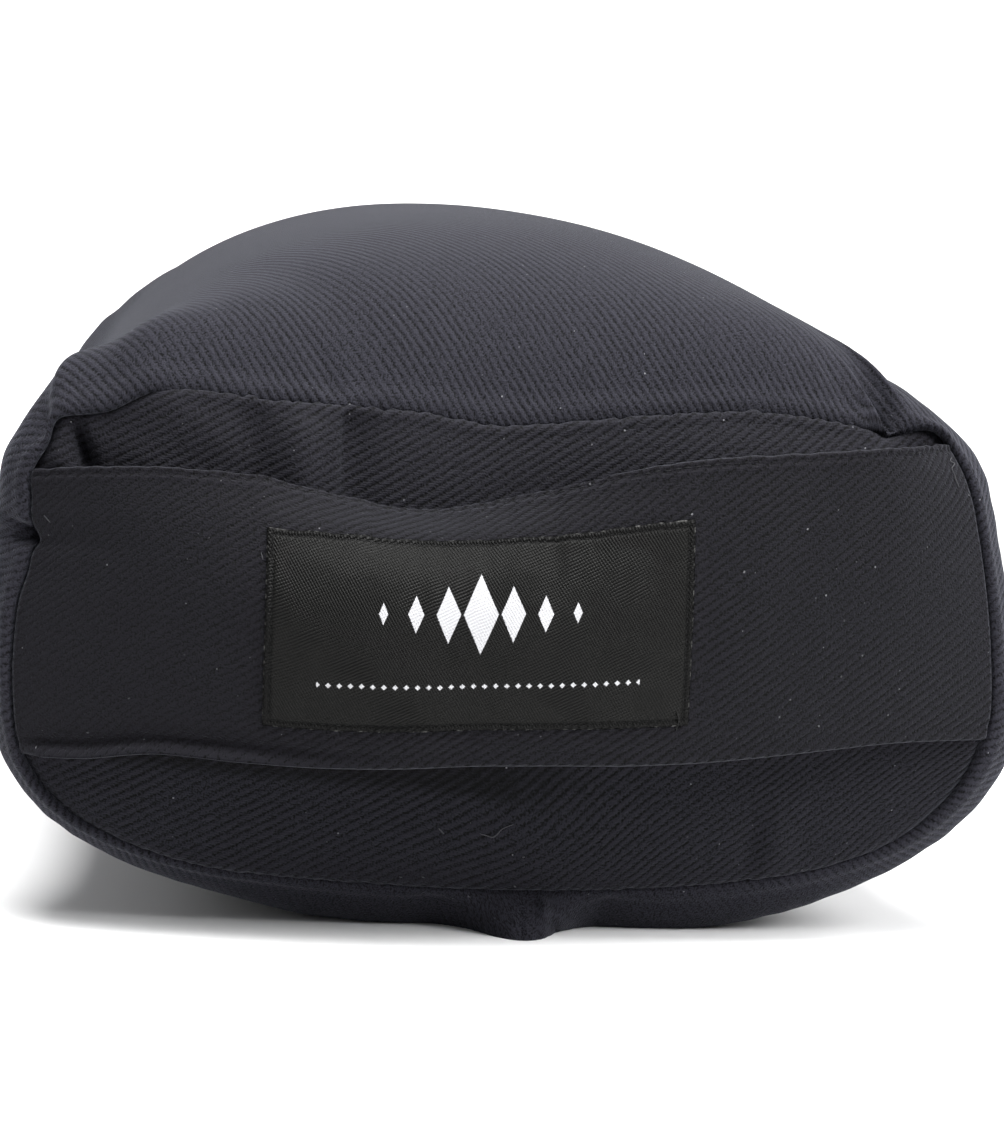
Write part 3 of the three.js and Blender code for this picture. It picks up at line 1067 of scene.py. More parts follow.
# The tube's cloth sits back along the top and the bottom, and comes forward over the panel at the sides.
SEAM_SETS = (
    SeamSet(0.0, 5.0, 1.4, 4.6, 1.0),
    SeamSet(0.12, 4.4, 1.4, 4.6, 0.9),
    SeamSet(0.19, 0.8, 2.0, 4.2, 0.3),
    SeamSet(0.25, 0.0, 2.0, 4.2, 0.0),
    SeamSet(0.31, 0.6, 2.4, 4.2, 0.2),
    SeamSet(0.330, -0.4, 2.4, 4.8, 0.0),
    SeamSet(0.343, 0.2, 2.2, 4.6, 0.0),
    SeamSet(0.352, 2.6, 1.6, 4.0, 0.9, 30),
    SeamSet(0.37, 4.4, 1.2, 3.6, 1.9, 30),
    SeamSet(0.50, 4.4, 1.2, 3.6, 1.9, 30),
    SeamSet(0.61, 4.4, 1.3, 3.6, 1.9, 30),
    SeamSet(0.635, 1.2, 2.0, 3.2, 0.6),
    SeamSet(0.66, -0.4, 2.0, 2.6, 0.2),
    SeamSet(0.7055, -0.6, 2.0, 4.2, 0.0, 5.0),
    SeamSet(0.7095, 6.0, 2.0, 4.2, 0.0, 3.0),
    SeamSet(0.7135, 6.0, 2.0, 4.2, 0.0, 3.0),
    SeamSet(0.7175, -0.6, 2.0, 4.2, 0.0, 5.0),
    SeamSet(0.80, 0.6, 2.0, 4.4, 0.3),
    SeamSet(0.88, 4.4, 1.4, 4.6, 0.9),
    SeamSet(1.0, 5.0, 1.4, 4.6, 1.0),
)

DETAILS = (
    Detail(0.008, 0.014, 1.5),
    Detail(0.347, 0.014, 3.0),
    Detail(0.558, 0.016, 1.4),
    Detail(0.662, 0.014, 1.2),
    Detail(0.712, 0.008, 3.0),
)

NOSE = (
    Nose(-8, -1.0, -7.5),
    Nose(-5, -1.5, -4.2),
    Nose(-3, -1.3, -1.9),
    Nose(-1.5, -0.5, -0.4),
    Nose(0, 0.7, 0.2),
    Nose(1.5, 2.2, -0.7),
    Nose(3, 3.2, -2.8),
    Nose(5, 4.66, -5),
)


@dataclass
class Shape:
    """What the pieces share: the outlines of the tube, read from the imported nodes, and its ends."""

    panel_middle: float = 88.0
    rim_growth: float = 1 / 0.994
    rim_clearance: float = 0.3
    lip_depth: float = 4.0
    join_width: float = 6.0
    seam: Outline = field(init=False)
    middle: Outline = field(init=False)
    half: float = field(init=False)

    def __post_init__(self) -> None:
        """Reads the seam from the front panel's rim and the middle section from the tube."""
        _, panel_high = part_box("end_panel_front")
        rim = panel_high.y / MM
        self.half = -rim - self.rim_clearance + self.lip_depth
        plain = Outline.from_node("end_panel_front", rim, self.panel_middle, self.rim_growth)
        self.seam = plain.nudged(SEAM_NUDGES)
        self.middle = Outline.from_node("body", 0.0, self.panel_middle).nudged(MIDDLE_NUDGES)

    def along_seam(self, ripples: Ripples, share: np.ndarray, other: np.ndarray | float) -> np.ndarray:
        """Ripples along the seam, which die away at its bottom middle, where it begins and ends."""
        from_join = self.seam.distance(0, share)
        return ripples.at(share * self.seam.length, other) * (1 - bell(from_join / self.join_width))

    @staticmethod
    def shares(columns: int, steps: int = 4000) -> np.ndarray:
        """Shares of the way round, closer together at the details, shaped (1, columns + 1)."""
        fine = np.linspace(0, 1, steps + 1)
        density = 1 + sum(place.extra * bell((fine - place.around) / place.width) for place in DETAILS)
        total = np.concatenate([[0], np.cumsum(density[1:] + density[:-1])])
        return np.interp(np.linspace(0, 1, columns + 1), total / total[-1], fine)[None, :]


@dataclass
class Tube:
    """The filled tube: cloth that leaves each seam in a roll, swells out and is pressed flat on the floor."""

    shape: Shape
    columns: int = 640
    front_rows: int = 100
    back_rows: int = 44
    roll_height: float = 7.5
    roll_distance: float = 16.0
    reach_top: float = 38.0
    reach_side: float = 70.0
    reach_under: float = 20.0
    tuft_around: float = 0.005
    tuft_width: float = 12.5
    tuft_forward: float = 16.0
    tuft_drop: float = 9.0
    tuft_peak: float = 6.0
    nose_depth: float = 8.0
    nose_until: float = 2.0
    roll_from: float = 6.0
    even_over: float = 0.018
    gathers: Ripples = Ripples(9.0, 3)
    gather_depth: float = 0.24
    gather_peak: float = 7.0
    gather_stretch: float = 0.5
    crowding: float = 3.4
    cap_rings: Pair = (0.0, 0.5)

    def swell(self, outward_z: np.ndarray, distance: np.ndarray) -> np.ndarray:
        """How far the tube has filled out, from 0 at the seam to 1 at its middle."""
        up, down = np.maximum(outward_z, 0), np.maximum(-outward_z, 0)
        reach = self.reach_side + (self.reach_top - self.reach_side) * up * up
        reach = reach + (self.reach_under - self.reach_side) * down
        return (1 - np.exp(-distance / reach)) / (1 - np.exp(-self.shape.half / reach))

    def folds(self, share: np.ndarray, distance: np.ndarray, end: End) -> np.ndarray:
        """Depth of the named folds at an end."""
        depth = np.zeros(np.broadcast(share, distance).shape)
        for fold in TUBE_FOLDS if end is End.FRONT else BACK_FOLDS:
            aside = self.shape.seam.distance(fold.around + fold.lean * distance, share)
            depth += fold.depth * fold.profile(aside) * surge(distance, fold.peak)
        return depth

    def surface(self, share: np.ndarray, distance: np.ndarray, end: End) -> np.ndarray:
        """Points of the tube's cloth.

        Args:
            share: shares of the way round, shaped (1, columns).
            distance: distances behind the lip, shaped (rows, 1), below 0 inside the seam.
            end: the end that the distances start from.

        Returns:
            The points, shaped (rows, columns, 3).
        """
        seam, outward = self.shape.seam.at(share), self.shape.seam.outward(share, self.even_over)
        middle = self.shape.middle.at(share)
        behind = np.maximum(distance, 0)
        fill = self.swell(outward[..., 1], behind)[..., None]
        section = seam * (1 - fill) + middle * fill
        rolled = smooth(distance, self.nose_until, self.roll_from)
        nose_out, nose_forward = (
            smooth_column(NOSE, "distance", name, distance) for name in ("outward", "forward")
        )
        roll = nose_out * (1 - rolled) + self.roll_height * surge(behind, self.roll_distance) * rolled
        roll = roll - self.folds(share, behind, end)
        forward = nose_forward * (1 - rolled) - distance * rolled + np.zeros_like(share)
        drop = np.zeros_like(forward)
        if end is End.FRONT:
            gathers = self.shape.along_seam(self.gathers, share, behind * self.gather_stretch)
            roll = roll + self.gather_depth * gathers * surge(behind, self.gather_peak)
            tube_back, fade = (
                smooth_column(SEAM_SETS, "around", name, share) for name in ("tube_back", "fade")
            )
            forward = forward - tube_back * bell(behind / fade)
            aside = self.shape.seam.distance(self.tuft_around, share) / self.tuft_width
            tuft = bell(aside) * surge(behind, self.tuft_peak)
            forward = forward + self.tuft_forward * tuft
            drop = self.tuft_drop * tuft
        x = section[..., 0] + outward[..., 0] * roll
        z = np.maximum(section[..., 1] + outward[..., 1] * roll - drop, 0)
        return stacked(x, end.value * (self.shape.half + forward), z)

    def distances(self, rows: int) -> np.ndarray:
        """Distances behind the lip, close together at the seam, shaped (rows, 1)."""
        spread = (np.exp(np.linspace(0, 1, rows) * self.crowding) - 1) / (math.exp(self.crowding) - 1)
        return (-self.nose_depth + (self.shape.half + self.nose_depth) * spread)[:, None]

    def build(self, material: bpy.types.Material) -> bpy.types.Object:
        """Builds and dresses the tube."""
        share = self.shape.shares(self.columns)
        front = self.surface(share, self.distances(self.front_rows), End.FRONT)
        back = self.surface(share, self.distances(self.back_rows)[:-1], End.BACK)[::-1]
        skin = np.concatenate([front, back])
        along = run_length(skin)
        along -= along[self.front_rows - 1]
        cloth = stacked(along, share * self.shape.middle.length)
        caps = []
        for ring in (skin[0], skin[-1]):
            hub = np.array([0, ring[0, 1], self.shape.panel_middle])
            caps.append([hub + (ring - hub) * part for part in self.cap_rings])
        points = np.concatenate([np.array(caps[0]), skin, np.array(caps[1][::-1])])
        cloth = np.concatenate([cloth[:1], cloth[:1], cloth, cloth[-1:], cloth[-1:]])
        piece = cloth_grid("bolster_tube", points, cloth)
        return dress(piece, material, "tube_twill", "body")


@dataclass(frozen=True)
class Sag:
    """A bend of the panel's warp, which grows from its start towards one side."""

    start: float
    side: int
    amount: float
    reach: float

    def at(self, x: np.ndarray) -> np.ndarray:
        """How far the warp has risen there."""
        return self.amount * np.maximum((x - self.start) * self.side, 0) ** 2 / self.reach


@dataclass
class EndPanel:
    """A crowned panel that is sewn into an end of the tube."""

    shape: Shape
    end: End
    name: str
    node: str
    columns: int = 560
    rows: int = 80
    crowding: float = 1.7
    thickness: float = PANEL_THICKNESS
    crown: float = 11.0
    crown_power: float = 2.6
    tuck: float = 4.2
    tuck_width: float = 1.9
    inset: float = 0.996
    roll_radius: float = 1.3
    dent_fade: int = 24
    wales: Ripples = Ripples(4.2, 5, waves=10)
    serration: float = 0.3
    left_sag: Sag = Sag(0, -1, -0.13, 300)
    right_sag: Sag = Sag(20, 1, 0.24, 260)
    low_right_sag: Sag = Sag(60, 1, 0.25, 180)
    low_edge: Pair = (75.0, 35.0)
    pull: float = 9.0
    pull_middle: float = 12.0
    pull_width: float = 32.0
    pull_edge: Pair = (62.0, 24.0)

    def forward(self, x: np.ndarray, z: np.ndarray, ring: np.ndarray, share: np.ndarray) -> np.ndarray:
        """How far the outer face stands forward of the tube's lip."""
        rim = -self.shape.lip_depth + self.shape.rim_clearance + self.thickness
        rise = rim + self.crown * (1 - ring**self.crown_power)
        inside = self.inside(ring, share)
        width, depth = self.tuck_width, self.tuck
        if self.end is End.FRONT:
            width = smooth_column(SEAM_SETS, "around", "roll_width", share)
            depth = smooth_column(SEAM_SETS, "around", "roll_depth", share)
        rise = rise - depth * bell(inside / width)
        if self.end is End.FRONT:
            fade = 1 - ring**self.dent_fade
            for dent in PANEL_DENTS:
                rise = rise + dent.rise(x, z) * fade
        return rise

    def inside(self, ring: np.ndarray, share: np.ndarray) -> np.ndarray:
        """How far inside the seam a point lies, towards the panel's middle."""
        middle = np.array([0, self.shape.panel_middle])
        return np.linalg.norm(self.shape.seam.at(share) - middle, axis=-1) * (1 - ring)

    def spread(self, ring: np.ndarray, share: np.ndarray) -> np.ndarray:
        """The x and z of the panel's points, where its edge bulges out before it rolls in."""
        middle = np.array([0, self.shape.panel_middle])
        flat = middle + (self.shape.seam.at(share) - middle) * ring[..., None] * self.inset
        if self.end is End.BACK:
            return flat
        wales = self.shape.along_seam(self.wales, share, 0.0)
        out = smooth_column(SEAM_SETS, "around", "roll_out", share) * (1 + self.serration * wales)
        out = out * bell((self.inside(ring, share) - self.roll_radius) / self.roll_radius)
        return flat + self.shape.seam.outward(share) * out[..., None]

    def grain(self, x: np.ndarray, z: np.ndarray) -> np.ndarray:
        """The warp's height on the flat cloth: it sags to the left and right and is drawn to the tuft."""
        low_right = self.low_right_sag.at(x) * smooth(z, *self.low_edge)
        pull = self.pull * bell((x - self.pull_middle) / self.pull_width) * smooth(z, *self.pull_edge)
        return z + self.left_sag.at(x) - self.right_sag.at(x) - low_right + pull

    def build(self, material: bpy.types.Material) -> bpy.types.Object:
        """Builds and dresses the panel."""
        share = self.shape.shares(self.columns)
        ring = 1 - np.linspace(0, 1, self.rows)[:, None] ** self.crowding
        seam = self.shape.seam.at(share)
        x, z = np.moveaxis(self.spread(ring, share), -1, 0)
        y = self.end.value * (self.shape.half + self.forward(x, z, ring, share))
        piece = cloth_grid(self.name, stacked(x, y, z), stacked(x, self.grain(x, z)))
        turn_outwards(piece, self.end)
        thicken(piece, self.thickness)
        area = self.shape.seam.area * MM * MM
        return dress(piece, material, "panel_twill", self.node)


def turn_outwards(piece: bpy.types.Object, end: End) -> None:
    """Turns an open sheet's faces away from the tube."""
    mean = sum(face.normal.y * face.area for face in piece.data.polygons)
    if mean * end.value < 0:
        activate(piece)
        with edit_mode():
            bpy.ops.mesh.flip_normals()


class Edge(Enum):
    """An edge of the strap."""

    LOW = "low"
    TOP = "top"


@dataclass(frozen=True)
class Ridge:
    """A ridge along an edge of the strap, or a groove where its height is below 0.

    Its height and width grow by further amounts where the hem rolls on the left, and its height beside each
    stitch too. It may end where the strap is sewn flat on the right.
    """

    edge: Edge
    place: float
    width: float
    height: float
    by_hem: float = 0.0
    wider_by_hem: float = 0.0
    by_stitch: float = 0.0
    ends_right: bool = False


STRAP_RIDGES = (
    Ridge(Edge.LOW, 0.8, 1.7, 0.3, by_hem=3.2),
    Ridge(Edge.LOW, 4.6, 1.4, -0.35, by_hem=-1.2, wider_by_hem=0.9),
    Ridge(Edge.TOP, 0.8, 0.8, 0.3, by_stitch=0.25),
    Ridge(Edge.TOP, STITCH_IN, 0.7, -0.55, by_stitch=0.35),
    Ridge(Edge.TOP, 3.4, 0.8, 0.25, by_stitch=0.2, ends_right=True),
)


@dataclass
class Strap:
    """The doubled strap across the front panel, whose upper edge leans back in the middle."""

    shape: Shape
    width: float = STRAP_WIDTH
    thickness: float = 2.4
    bulge: float = 38.0
    crown: float = 4.0
    crown_power: int = 8
    edge_waves: Ripples = Ripples(7.5, 8, waves=12)
    edge_wave_height: float = 0.3
    end_margin: float = 1.5
    straight: float = 0.6
    end_rise: float = 0.4
    curl_start: float = 0.42
    curl_bend: float = 0.8
    curl_share: float = 0.62
    curl_full: float = 0.88
    overrun: float = 0.06
    fine_steps: int = 225
    steepest: int = 90
    side_from: float = 60.0
    side_steps: int = 1441
    hem_fades: Pair = (-30.0, -95.0)
    hem_starts: Pair = (-152.0, -143.0)
    flat_right: Pair = (100.0, 130.0)
    stitch_pitch: float = 3.1
    swells: Ripples = Ripples(46.0, 11)
    swell_height: float = 0.5
    swell_stretch: float = 0.5
    creases: Ripples = Ripples(17.0, 12)
    crease_height: float = 0.12
    crease_stretch: float = 0.7
    soft_power: int = 6
    columns: int = 400
    rows: int = 84
    edge_crowding: float = 0.35
    round_in: float = 1.5
    least_half: float = 0.03
    inner_lift: float = 0.6

    def section(self, across: np.ndarray, curl: np.ndarray) -> tuple[np.ndarray, np.ndarray]:
        """Height and set-back of the strap's section, as shares of its width.

        Args:
            across: shares of the width, any shape.
            curl: full lean in degrees, broadcast with across.

        Returns:
            Height and set-back.
        """
        fine = np.linspace(-self.overrun, 1 + self.overrun, self.fine_steps)
        gentle = smooth(fine, self.curl_start, self.curl_bend)
        sharp = smooth(fine, self.curl_bend, self.curl_full)
        lean = self.curl_share * gentle + (1 - self.curl_share) * sharp
        across, curl = np.broadcast_arrays(across, curl)
        angle = np.radians(np.arange(self.steepest + 1.0))[:, None] * lean
        step = fine[1] - fine[0]
        zero = np.searchsorted(fine, 0)
        row = np.clip(curl, 0, np.nextafter(self.steepest, 0))
        low_row = row.astype(int)
        column = (np.clip(across, fine[0], fine[-1]) - fine[0]) / step
        low_column = np.clip(column.astype(int), 0, len(fine) - 2)
        r, c = row - low_row, column - low_column
        found = []
        for wave in (np.cos(angle), np.sin(angle)):
            total = np.cumsum((wave[:, 1:] + wave[:, :-1]) / 2 * step, axis=1)
            total = np.hstack([np.zeros((len(angle), 1)), total])
            at_zero = total[:, zero - 1] + (total[:, zero] - total[:, zero - 1]) * (-fine[zero - 1] / step)
            table = total - at_zero[:, None]
            near = table[low_row, low_column] * (1 - c) + table[low_row, low_column + 1] * c
            far = table[low_row + 1, low_column] * (1 - c) + table[low_row + 1, low_column + 1] * c
            found.append(near * (1 - r) + far * r)
        return found[0], found[1]

    def side_x(self, z: np.ndarray, side: np.ndarray) -> np.ndarray:
        """The x of the sewn edge at a height, on the left (-1) or right (1) side."""
        ring = self.shape.seam.at(np.linspace(0, 1, self.side_steps))
        found = np.empty(np.broadcast(z, side).shape)
        for sign in (-1, 1):
            half = ring[ring[:, 0] * sign > self.side_from]
            half = half[np.argsort(half[:, 1])]
            found = np.where(side == sign, np.interp(z, half[:, 1], half[:, 0]), found)
        return found

    @staticmethod
    def rough_x(along: np.ndarray) -> np.ndarray:
        """The x between the outermost stations, before the ends are drawn to the seam."""
        return STRAP_LEFT + (STRAP_RIGHT - STRAP_LEFT) * along

    def face(self, along: np.ndarray, across: np.ndarray) -> np.ndarray:
        """Points of the strap's outer face.

        Args:
            along: 0 at the left seam to 1 at the right one.
            across: 0 at the lower edge to 1 at the upper one.

        Returns:
            The points.
        """
        rough = self.rough_x(along)
        low, top, curl = (smooth_column(STRAP_STATIONS, "x", name, rough) for name in ("low", "top", "curl"))
        curl = np.maximum(curl, 0)
        top = top + self.edge_wave_height * self.edge_waves.at(rough, 0.0)
        up, back = self.section(across, curl)
        full, _ = self.section(np.ones_like(curl), curl)
        z = low + (top - low) * up / full
        side = np.where(rough < 0, -1, 1)
        sewn = self.side_x(z, side) - side * self.end_margin
        end_x = np.where(rough < 0, STRAP_LEFT, STRAP_RIGHT)
        towards = np.maximum(np.abs(2 * along - 1) - self.straight, 0) / (1 - self.straight)
        x = rough + (sewn - end_x) * towards**2
        bulge = self.bulge * (1 - (2 * along - 1) ** 2)
        rim = self.shape.half - self.shape.lip_depth + self.shape.rim_clearance + PANEL_THICKNESS
        crown = self.crown * (1 - (2 * across - 1) ** 2) * (1 - (2 * along - 1) ** self.crown_power)
        return stacked(x, -(rim + self.end_rise + self.thickness + bulge + crown) + self.width * back, z)

    def normal(self, along: np.ndarray, across: np.ndarray, step: float = 0.002) -> np.ndarray:
        """Outward directions of the outer face, even over a step to each side."""
        along = np.clip(along, step, 1 - step)
        sideways = self.face(along + step, across) - self.face(along - step, across)
        upwards = self.face(along, across + step) - self.face(along, across - step)
        return unit(np.cross(sideways, upwards))

    def lift(self, along: np.ndarray, across: np.ndarray) -> np.ndarray:
        """How far the padded cloth stands off the plain outer face."""
        x = self.rough_x(along)
        from_edge = {Edge.LOW: across * self.width, Edge.TOP: (1 - across) * self.width}
        hem = smooth(x, *self.hem_fades) * smooth(x, *self.hem_starts)
        flat = smooth(x, *self.flat_right)
        stitch = 0.5 + 0.5 * np.cos(x * (2 * math.pi / self.stitch_pitch))
        rise = 0.0
        for ridge in STRAP_RIDGES:
            height = ridge.height + ridge.by_hem * hem + ridge.by_stitch * stitch
            width = ridge.width + ridge.wider_by_hem * hem
            ended = 1 - flat if ridge.ends_right else 1.0
            rise = rise + height * bell((from_edge[ridge.edge] - ridge.place) / width) * ended
        soft = self.swells.at(x, from_edge[Edge.LOW] * self.swell_stretch) * self.swell_height
        soft = soft + self.creases.at(x, from_edge[Edge.LOW] * self.crease_stretch) * self.crease_height
        return rise + soft * (1 - np.abs(2 * along - 1) ** self.soft_power)

    def outer(self, along: np.ndarray, across: np.ndarray, above: float | np.ndarray = 0.0) -> np.ndarray:
        """Points on or above the finished outer face."""
        rise = self.lift(along, across) + above
        return self.face(along, across) + self.normal(along, across) * rise[..., None]

    def build(self, material: bpy.types.Material) -> bpy.types.Object:
        """Builds and dresses the strap."""
        along = np.linspace(0, 1, self.columns)[None, :]
        crowded = (1 - np.cos(np.linspace(0, math.pi, self.rows))) / 2
        even = np.linspace(0, 1, self.rows)
        w = self.width * (self.edge_crowding * crowded + (1 - self.edge_crowding) * even)
        profile = np.minimum(np.minimum(w, self.width - w) / self.round_in, 1)
        half = self.thickness / 2 * np.sqrt(np.maximum(1 - (1 - profile) ** 2, 0))
        half = np.maximum(half, self.least_half)
        across = (w / self.width)[:, None]
        lift = self.lift(along, across)
        base, normal = self.face(along, across), self.normal(along, across)
        centre = -self.thickness / 2
        outer = base + normal * (centre + half[:, None] + lift)[..., None]
        inner = base + normal * (centre - half[:, None] + lift * self.inner_lift)[..., None]
        ring = np.concatenate([outer, inner[::-1][1:-1], outer[:1]])
        u = run_length(self.face(along[0], 0.5))
        v = np.concatenate([w, self.width + (self.width - w[::-1][1:-1]), [2 * self.width]])
        cloth = stacked(u[None, :], v[:, None])
        middle = (outer + inner) / 2
        middle[[0, -1]] = outer[[0, -1]]
        closing = np.concatenate([middle, middle[::-1][1:-1], middle[:1]])
        ring = np.concatenate([closing[:, :1], ring, closing[:, -1:]], axis=1)
        cloth = np.concatenate([cloth[:, :1], cloth, cloth[:, -1:]], axis=1)
        piece = cloth_grid("carrying_strap", ring, cloth)
        return dress(piece, material, "strap_twill", "handle_strap")


@dataclass
class Label:
    """The woven label that is sewn to the strap."""

    strap: Strap
    left: float = -76.0
    right: float = 52.0
    low: float = 0.136
    top: float = 0.81
    thickness: float = 0.6
    height: float = 1.25
    edge_height: float = 0.52
    edge_width: float = 0.8
    stitch_in: float = STITCH_IN
    groove_depth: float = 0.55
    groove_width: float = 0.5
    waves: Ripples = Ripples(26.0, 21)
    wave_height: float = 0.22
    loose_height: float = 0.3
    loose_edge: Pair = (3.0, 14.0)
    columns: int = 260
    rows: int = 130

    def place(self, u: np.ndarray, v: np.ndarray) -> tuple[np.ndarray, np.ndarray]:
        """The strap's coordinates at shares of the label's width and height."""
        along = (self.left + (self.right - self.left) * u - STRAP_LEFT) / (STRAP_RIGHT - STRAP_LEFT)
        return along, self.low + (self.top - self.low) * v

    @property
    def size(self) -> Pair:
        """Width and height of the flat label."""
        return self.right - self.left, (self.top - self.low) * self.strap.width

    def rise(self, u: np.ndarray, v: np.ndarray) -> np.ndarray:
        """How far the label's face stands off the strap's."""
        width, height = self.size
        inside = np.minimum(np.minimum(u, 1 - u) * width, np.minimum(v, 1 - v) * height)
        rise = self.height * (self.edge_height + (1 - self.edge_height) * smooth(inside, 0, self.edge_width))
        rise = rise - self.groove_depth * bell((inside - self.stitch_in) / self.groove_width)
        loose = self.loose_height + self.wave_height * self.waves.at(u * width, v * height)
        return rise + loose * smooth(inside, *self.loose_edge)

    def build(self, material: bpy.types.Material) -> bpy.types.Object:
        """Builds and dresses the label."""
        u = np.linspace(0, 1, self.columns)[None, :]
        v = np.linspace(0, 1, self.rows)[:, None]
        u, v = np.broadcast_arrays(u, v)
        along, across = self.place(u, v)
        points = self.strap.outer(along, across, self.rise(u, v))
        width, height = self.size
        piece = cloth_grid("woven_label", points, stacked(u * width, v * height))
        turn_outwards(piece, End.FRONT)
        thicken(piece, self.thickness)
        return dress(piece, material, "label_satin", "label")


@dataclass(frozen=True)
class Stitch:
    """One stitch of sewing thread, copied along a seam.

    Bow is how far its ends dip as a share of its thickness, and look is how far to each side of it its
    direction is taken.
    """

    length: float
    gap: float
    thickness: float
    bow: float = 2.0
    look: float = 0.4

    def template(self) -> bpy.types.Object:
        """A rounded stitch along X, bent into the cloth at both ends."""
        deselect()
        bpy.ops.mesh.primitive_uv_sphere_add(segments=8, ring_count=6, radius=0.5)
        piece = bpy.context.object
        for vertex in piece.data.vertices:
            x, y, z = vertex.co
            vertex.co = (z * self.length, -y * self.thickness, (x - z * z * self.bow) * self.thickness)
        return piece

    def sew(self, name: str, lines: Sequence[tuple[np.ndarray, np.ndarray]]) -> bpy.types.Object:
        """Copies the stitch along lines and joins the copies.

        Args:
            name: name of the joined piece.
            lines: points of each line with the outward direction at each point.

        Returns:
            The joined piece.
        """
        template = self.template()
        copies = []
        for points, normals in lines:
            travelled = run_length(points)
            count = int(travelled[-1] // (self.length + self.gap))
            for i in range(count):
                middle = (i + 0.5) * travelled[-1] / count
                behind, at, ahead = (
                    self.between(points, travelled, middle + reach) for reach in (-self.look, 0, self.look)
                )
                up = Vector(self.between(normals, travelled, middle)).normalized()
                forward = Vector(ahead - behind).normalized()
                side = up.cross(forward).normalized()
                turn = Matrix((forward, side, forward.cross(side))).transposed().to_4x4()
                copy = template.copy()
                copy.data = template.data.copy()
                copy.data.transform(Matrix.Scale(MM, 4) @ Matrix.Translation(Vector(at)) @ turn)
                bpy.context.scene.collection.objects.link(copy)
                copies.append(copy)
        bpy.data.objects.remove(template)
        return joined(copies, name)

    @staticmethod
    def between(points: np.ndarray, travelled: np.ndarray, where: float) -> np.ndarray:
        """The point at a distance along a line."""
        return np.array([np.interp(where, travelled, points[:, axis]) for axis in range(3)])


@dataclass
class Sewing:
    """The row of stitches along the strap's upper edge and those round the label."""

    strap: Strap
    label: Label
    strap_stitch: Stitch = Stitch(2.4, 0.7, 0.42)
    strap_ends: Pair = (0.012, 0.988)
    strap_points: int = 400
    strap_proud: float = 0.05
    label_stitch: Stitch = Stitch(1.7, 0.8, 0.36)
    side_points: int = 160
    label_proud: float = 0.1

    def strap_lines(self) -> list[tuple[np.ndarray, np.ndarray]]:
        """The row of stitches along the strap's upper edge."""
        along = np.linspace(*self.strap_ends, self.strap_points)
        level = np.full_like(along, 1 - STITCH_IN / self.strap.width)
        return [(self.strap.outer(along, level, self.strap_proud), self.strap.normal(along, level))]

    def label_lines(self) -> list[tuple[np.ndarray, np.ndarray]]:
        """The rows of stitches round the label."""
        width, height = self.label.size
        a, b = self.label.stitch_in / width, self.label.stitch_in / height
        corners = [(a, b), (1 - a, b), (1 - a, 1 - b), (a, 1 - b), (a, b)]
        lines = []
        for (u0, v0), (u1, v1) in zip(corners, corners[1:]):
            t = np.linspace(0, 1, self.side_points)
            u, v = u0 + (u1 - u0) * t, v0 + (v1 - v0) * t
            along, across = self.label.place(u, v)
            points = self.strap.outer(along, across, self.label.rise(u, v) + self.label_proud)
            lines.append((points, self.strap.normal(along, across)))
        return lines

    def build(self, strap_thread: bpy.types.Material, label_thread: bpy.types.Material) -> None:
        """Sews and dresses both sets of stitches."""
        dress(self.strap_stitch.sew("strap_stitches", self.strap_lines()), strap_thread, "strap_twill")
        dress(self.label_stitch.sew("label_stitches", self.label_lines()), label_thread, "label_satin")


@dataclass(frozen=True)
class LooseThread:
    """A thread end or fibre that lies on the front: its thickness and its course in x and z."""

    name: str
    thickness: float
    course: tuple[Pair, ...]


CURL = ((-7.3, 33.1), (-5.5, 32.6), (-3.3, 32.0), (-1.8, 33.0), (-0.9, 34.2), (0.3, 35.1), (3.3, 36.4))
CORNER_FUZZ = ((135.9, 153.8), (135.2, 152.6), (136.7, 151.7), (135.6, 150.4), (136.5, 148.6))

PALE_THREADS = (
    LooseThread("curl", 0.36, CURL),
    LooseThread("bit_beside_the_curl", 0.35, ((-20.1, 34.6), (-18.4, 32.8))),
    LooseThread("speck_under_the_left", 0.4, ((-31.5, 18.2), (-30.6, 18.0))),
    LooseThread("speck_beside_it", 0.4, ((-24.5, 18.4), (-23.7, 18.1))),
    LooseThread("speck_over_the_tuft", 0.5, ((4.4, 15.8), (5.1, 15.5))),
    LooseThread("speck_low_on_the_panel", 0.45, ((6.5, 25.4), (7.2, 25.8))),
    LooseThread("fuzz_at_the_right_corner", 0.4, CORNER_FUZZ),
    LooseThread("end_at_the_right_corner", 0.4, ((136.5, 148.6), (137.2, 146.5), (138.2, 144.4))),
    LooseThread("fuzz_at_the_left_kink", 0.3, ((-143.4, 128.7), (-142.2, 127.5), (-141.3, 126.6))),
    LooseThread("speck_under_the_left_kink", 0.35, ((-142.0, 122.9), (-141.6, 122.5))),
    LooseThread("speck_on_the_hem", 0.4, ((-128.8, 63.4), (-128.1, 63.6))),
    LooseThread("second_speck_on_the_hem", 0.35, ((-116.4, 75.1), (-115.8, 75.3))),
    LooseThread("third_speck_on_the_hem", 0.35, ((-111.6, 62.5), (-111.0, 62.6))),
    LooseThread("thread_at_the_label", 0.3, ((-77.6, 121.5), (-77.0, 119.4))),
)

LABEL_TAIL = (LooseThread("label_tail", 0.5, ((48.2, 77.6), (48.9, 75.1), (48.7, 73.3), (48.5, 71.5))),)


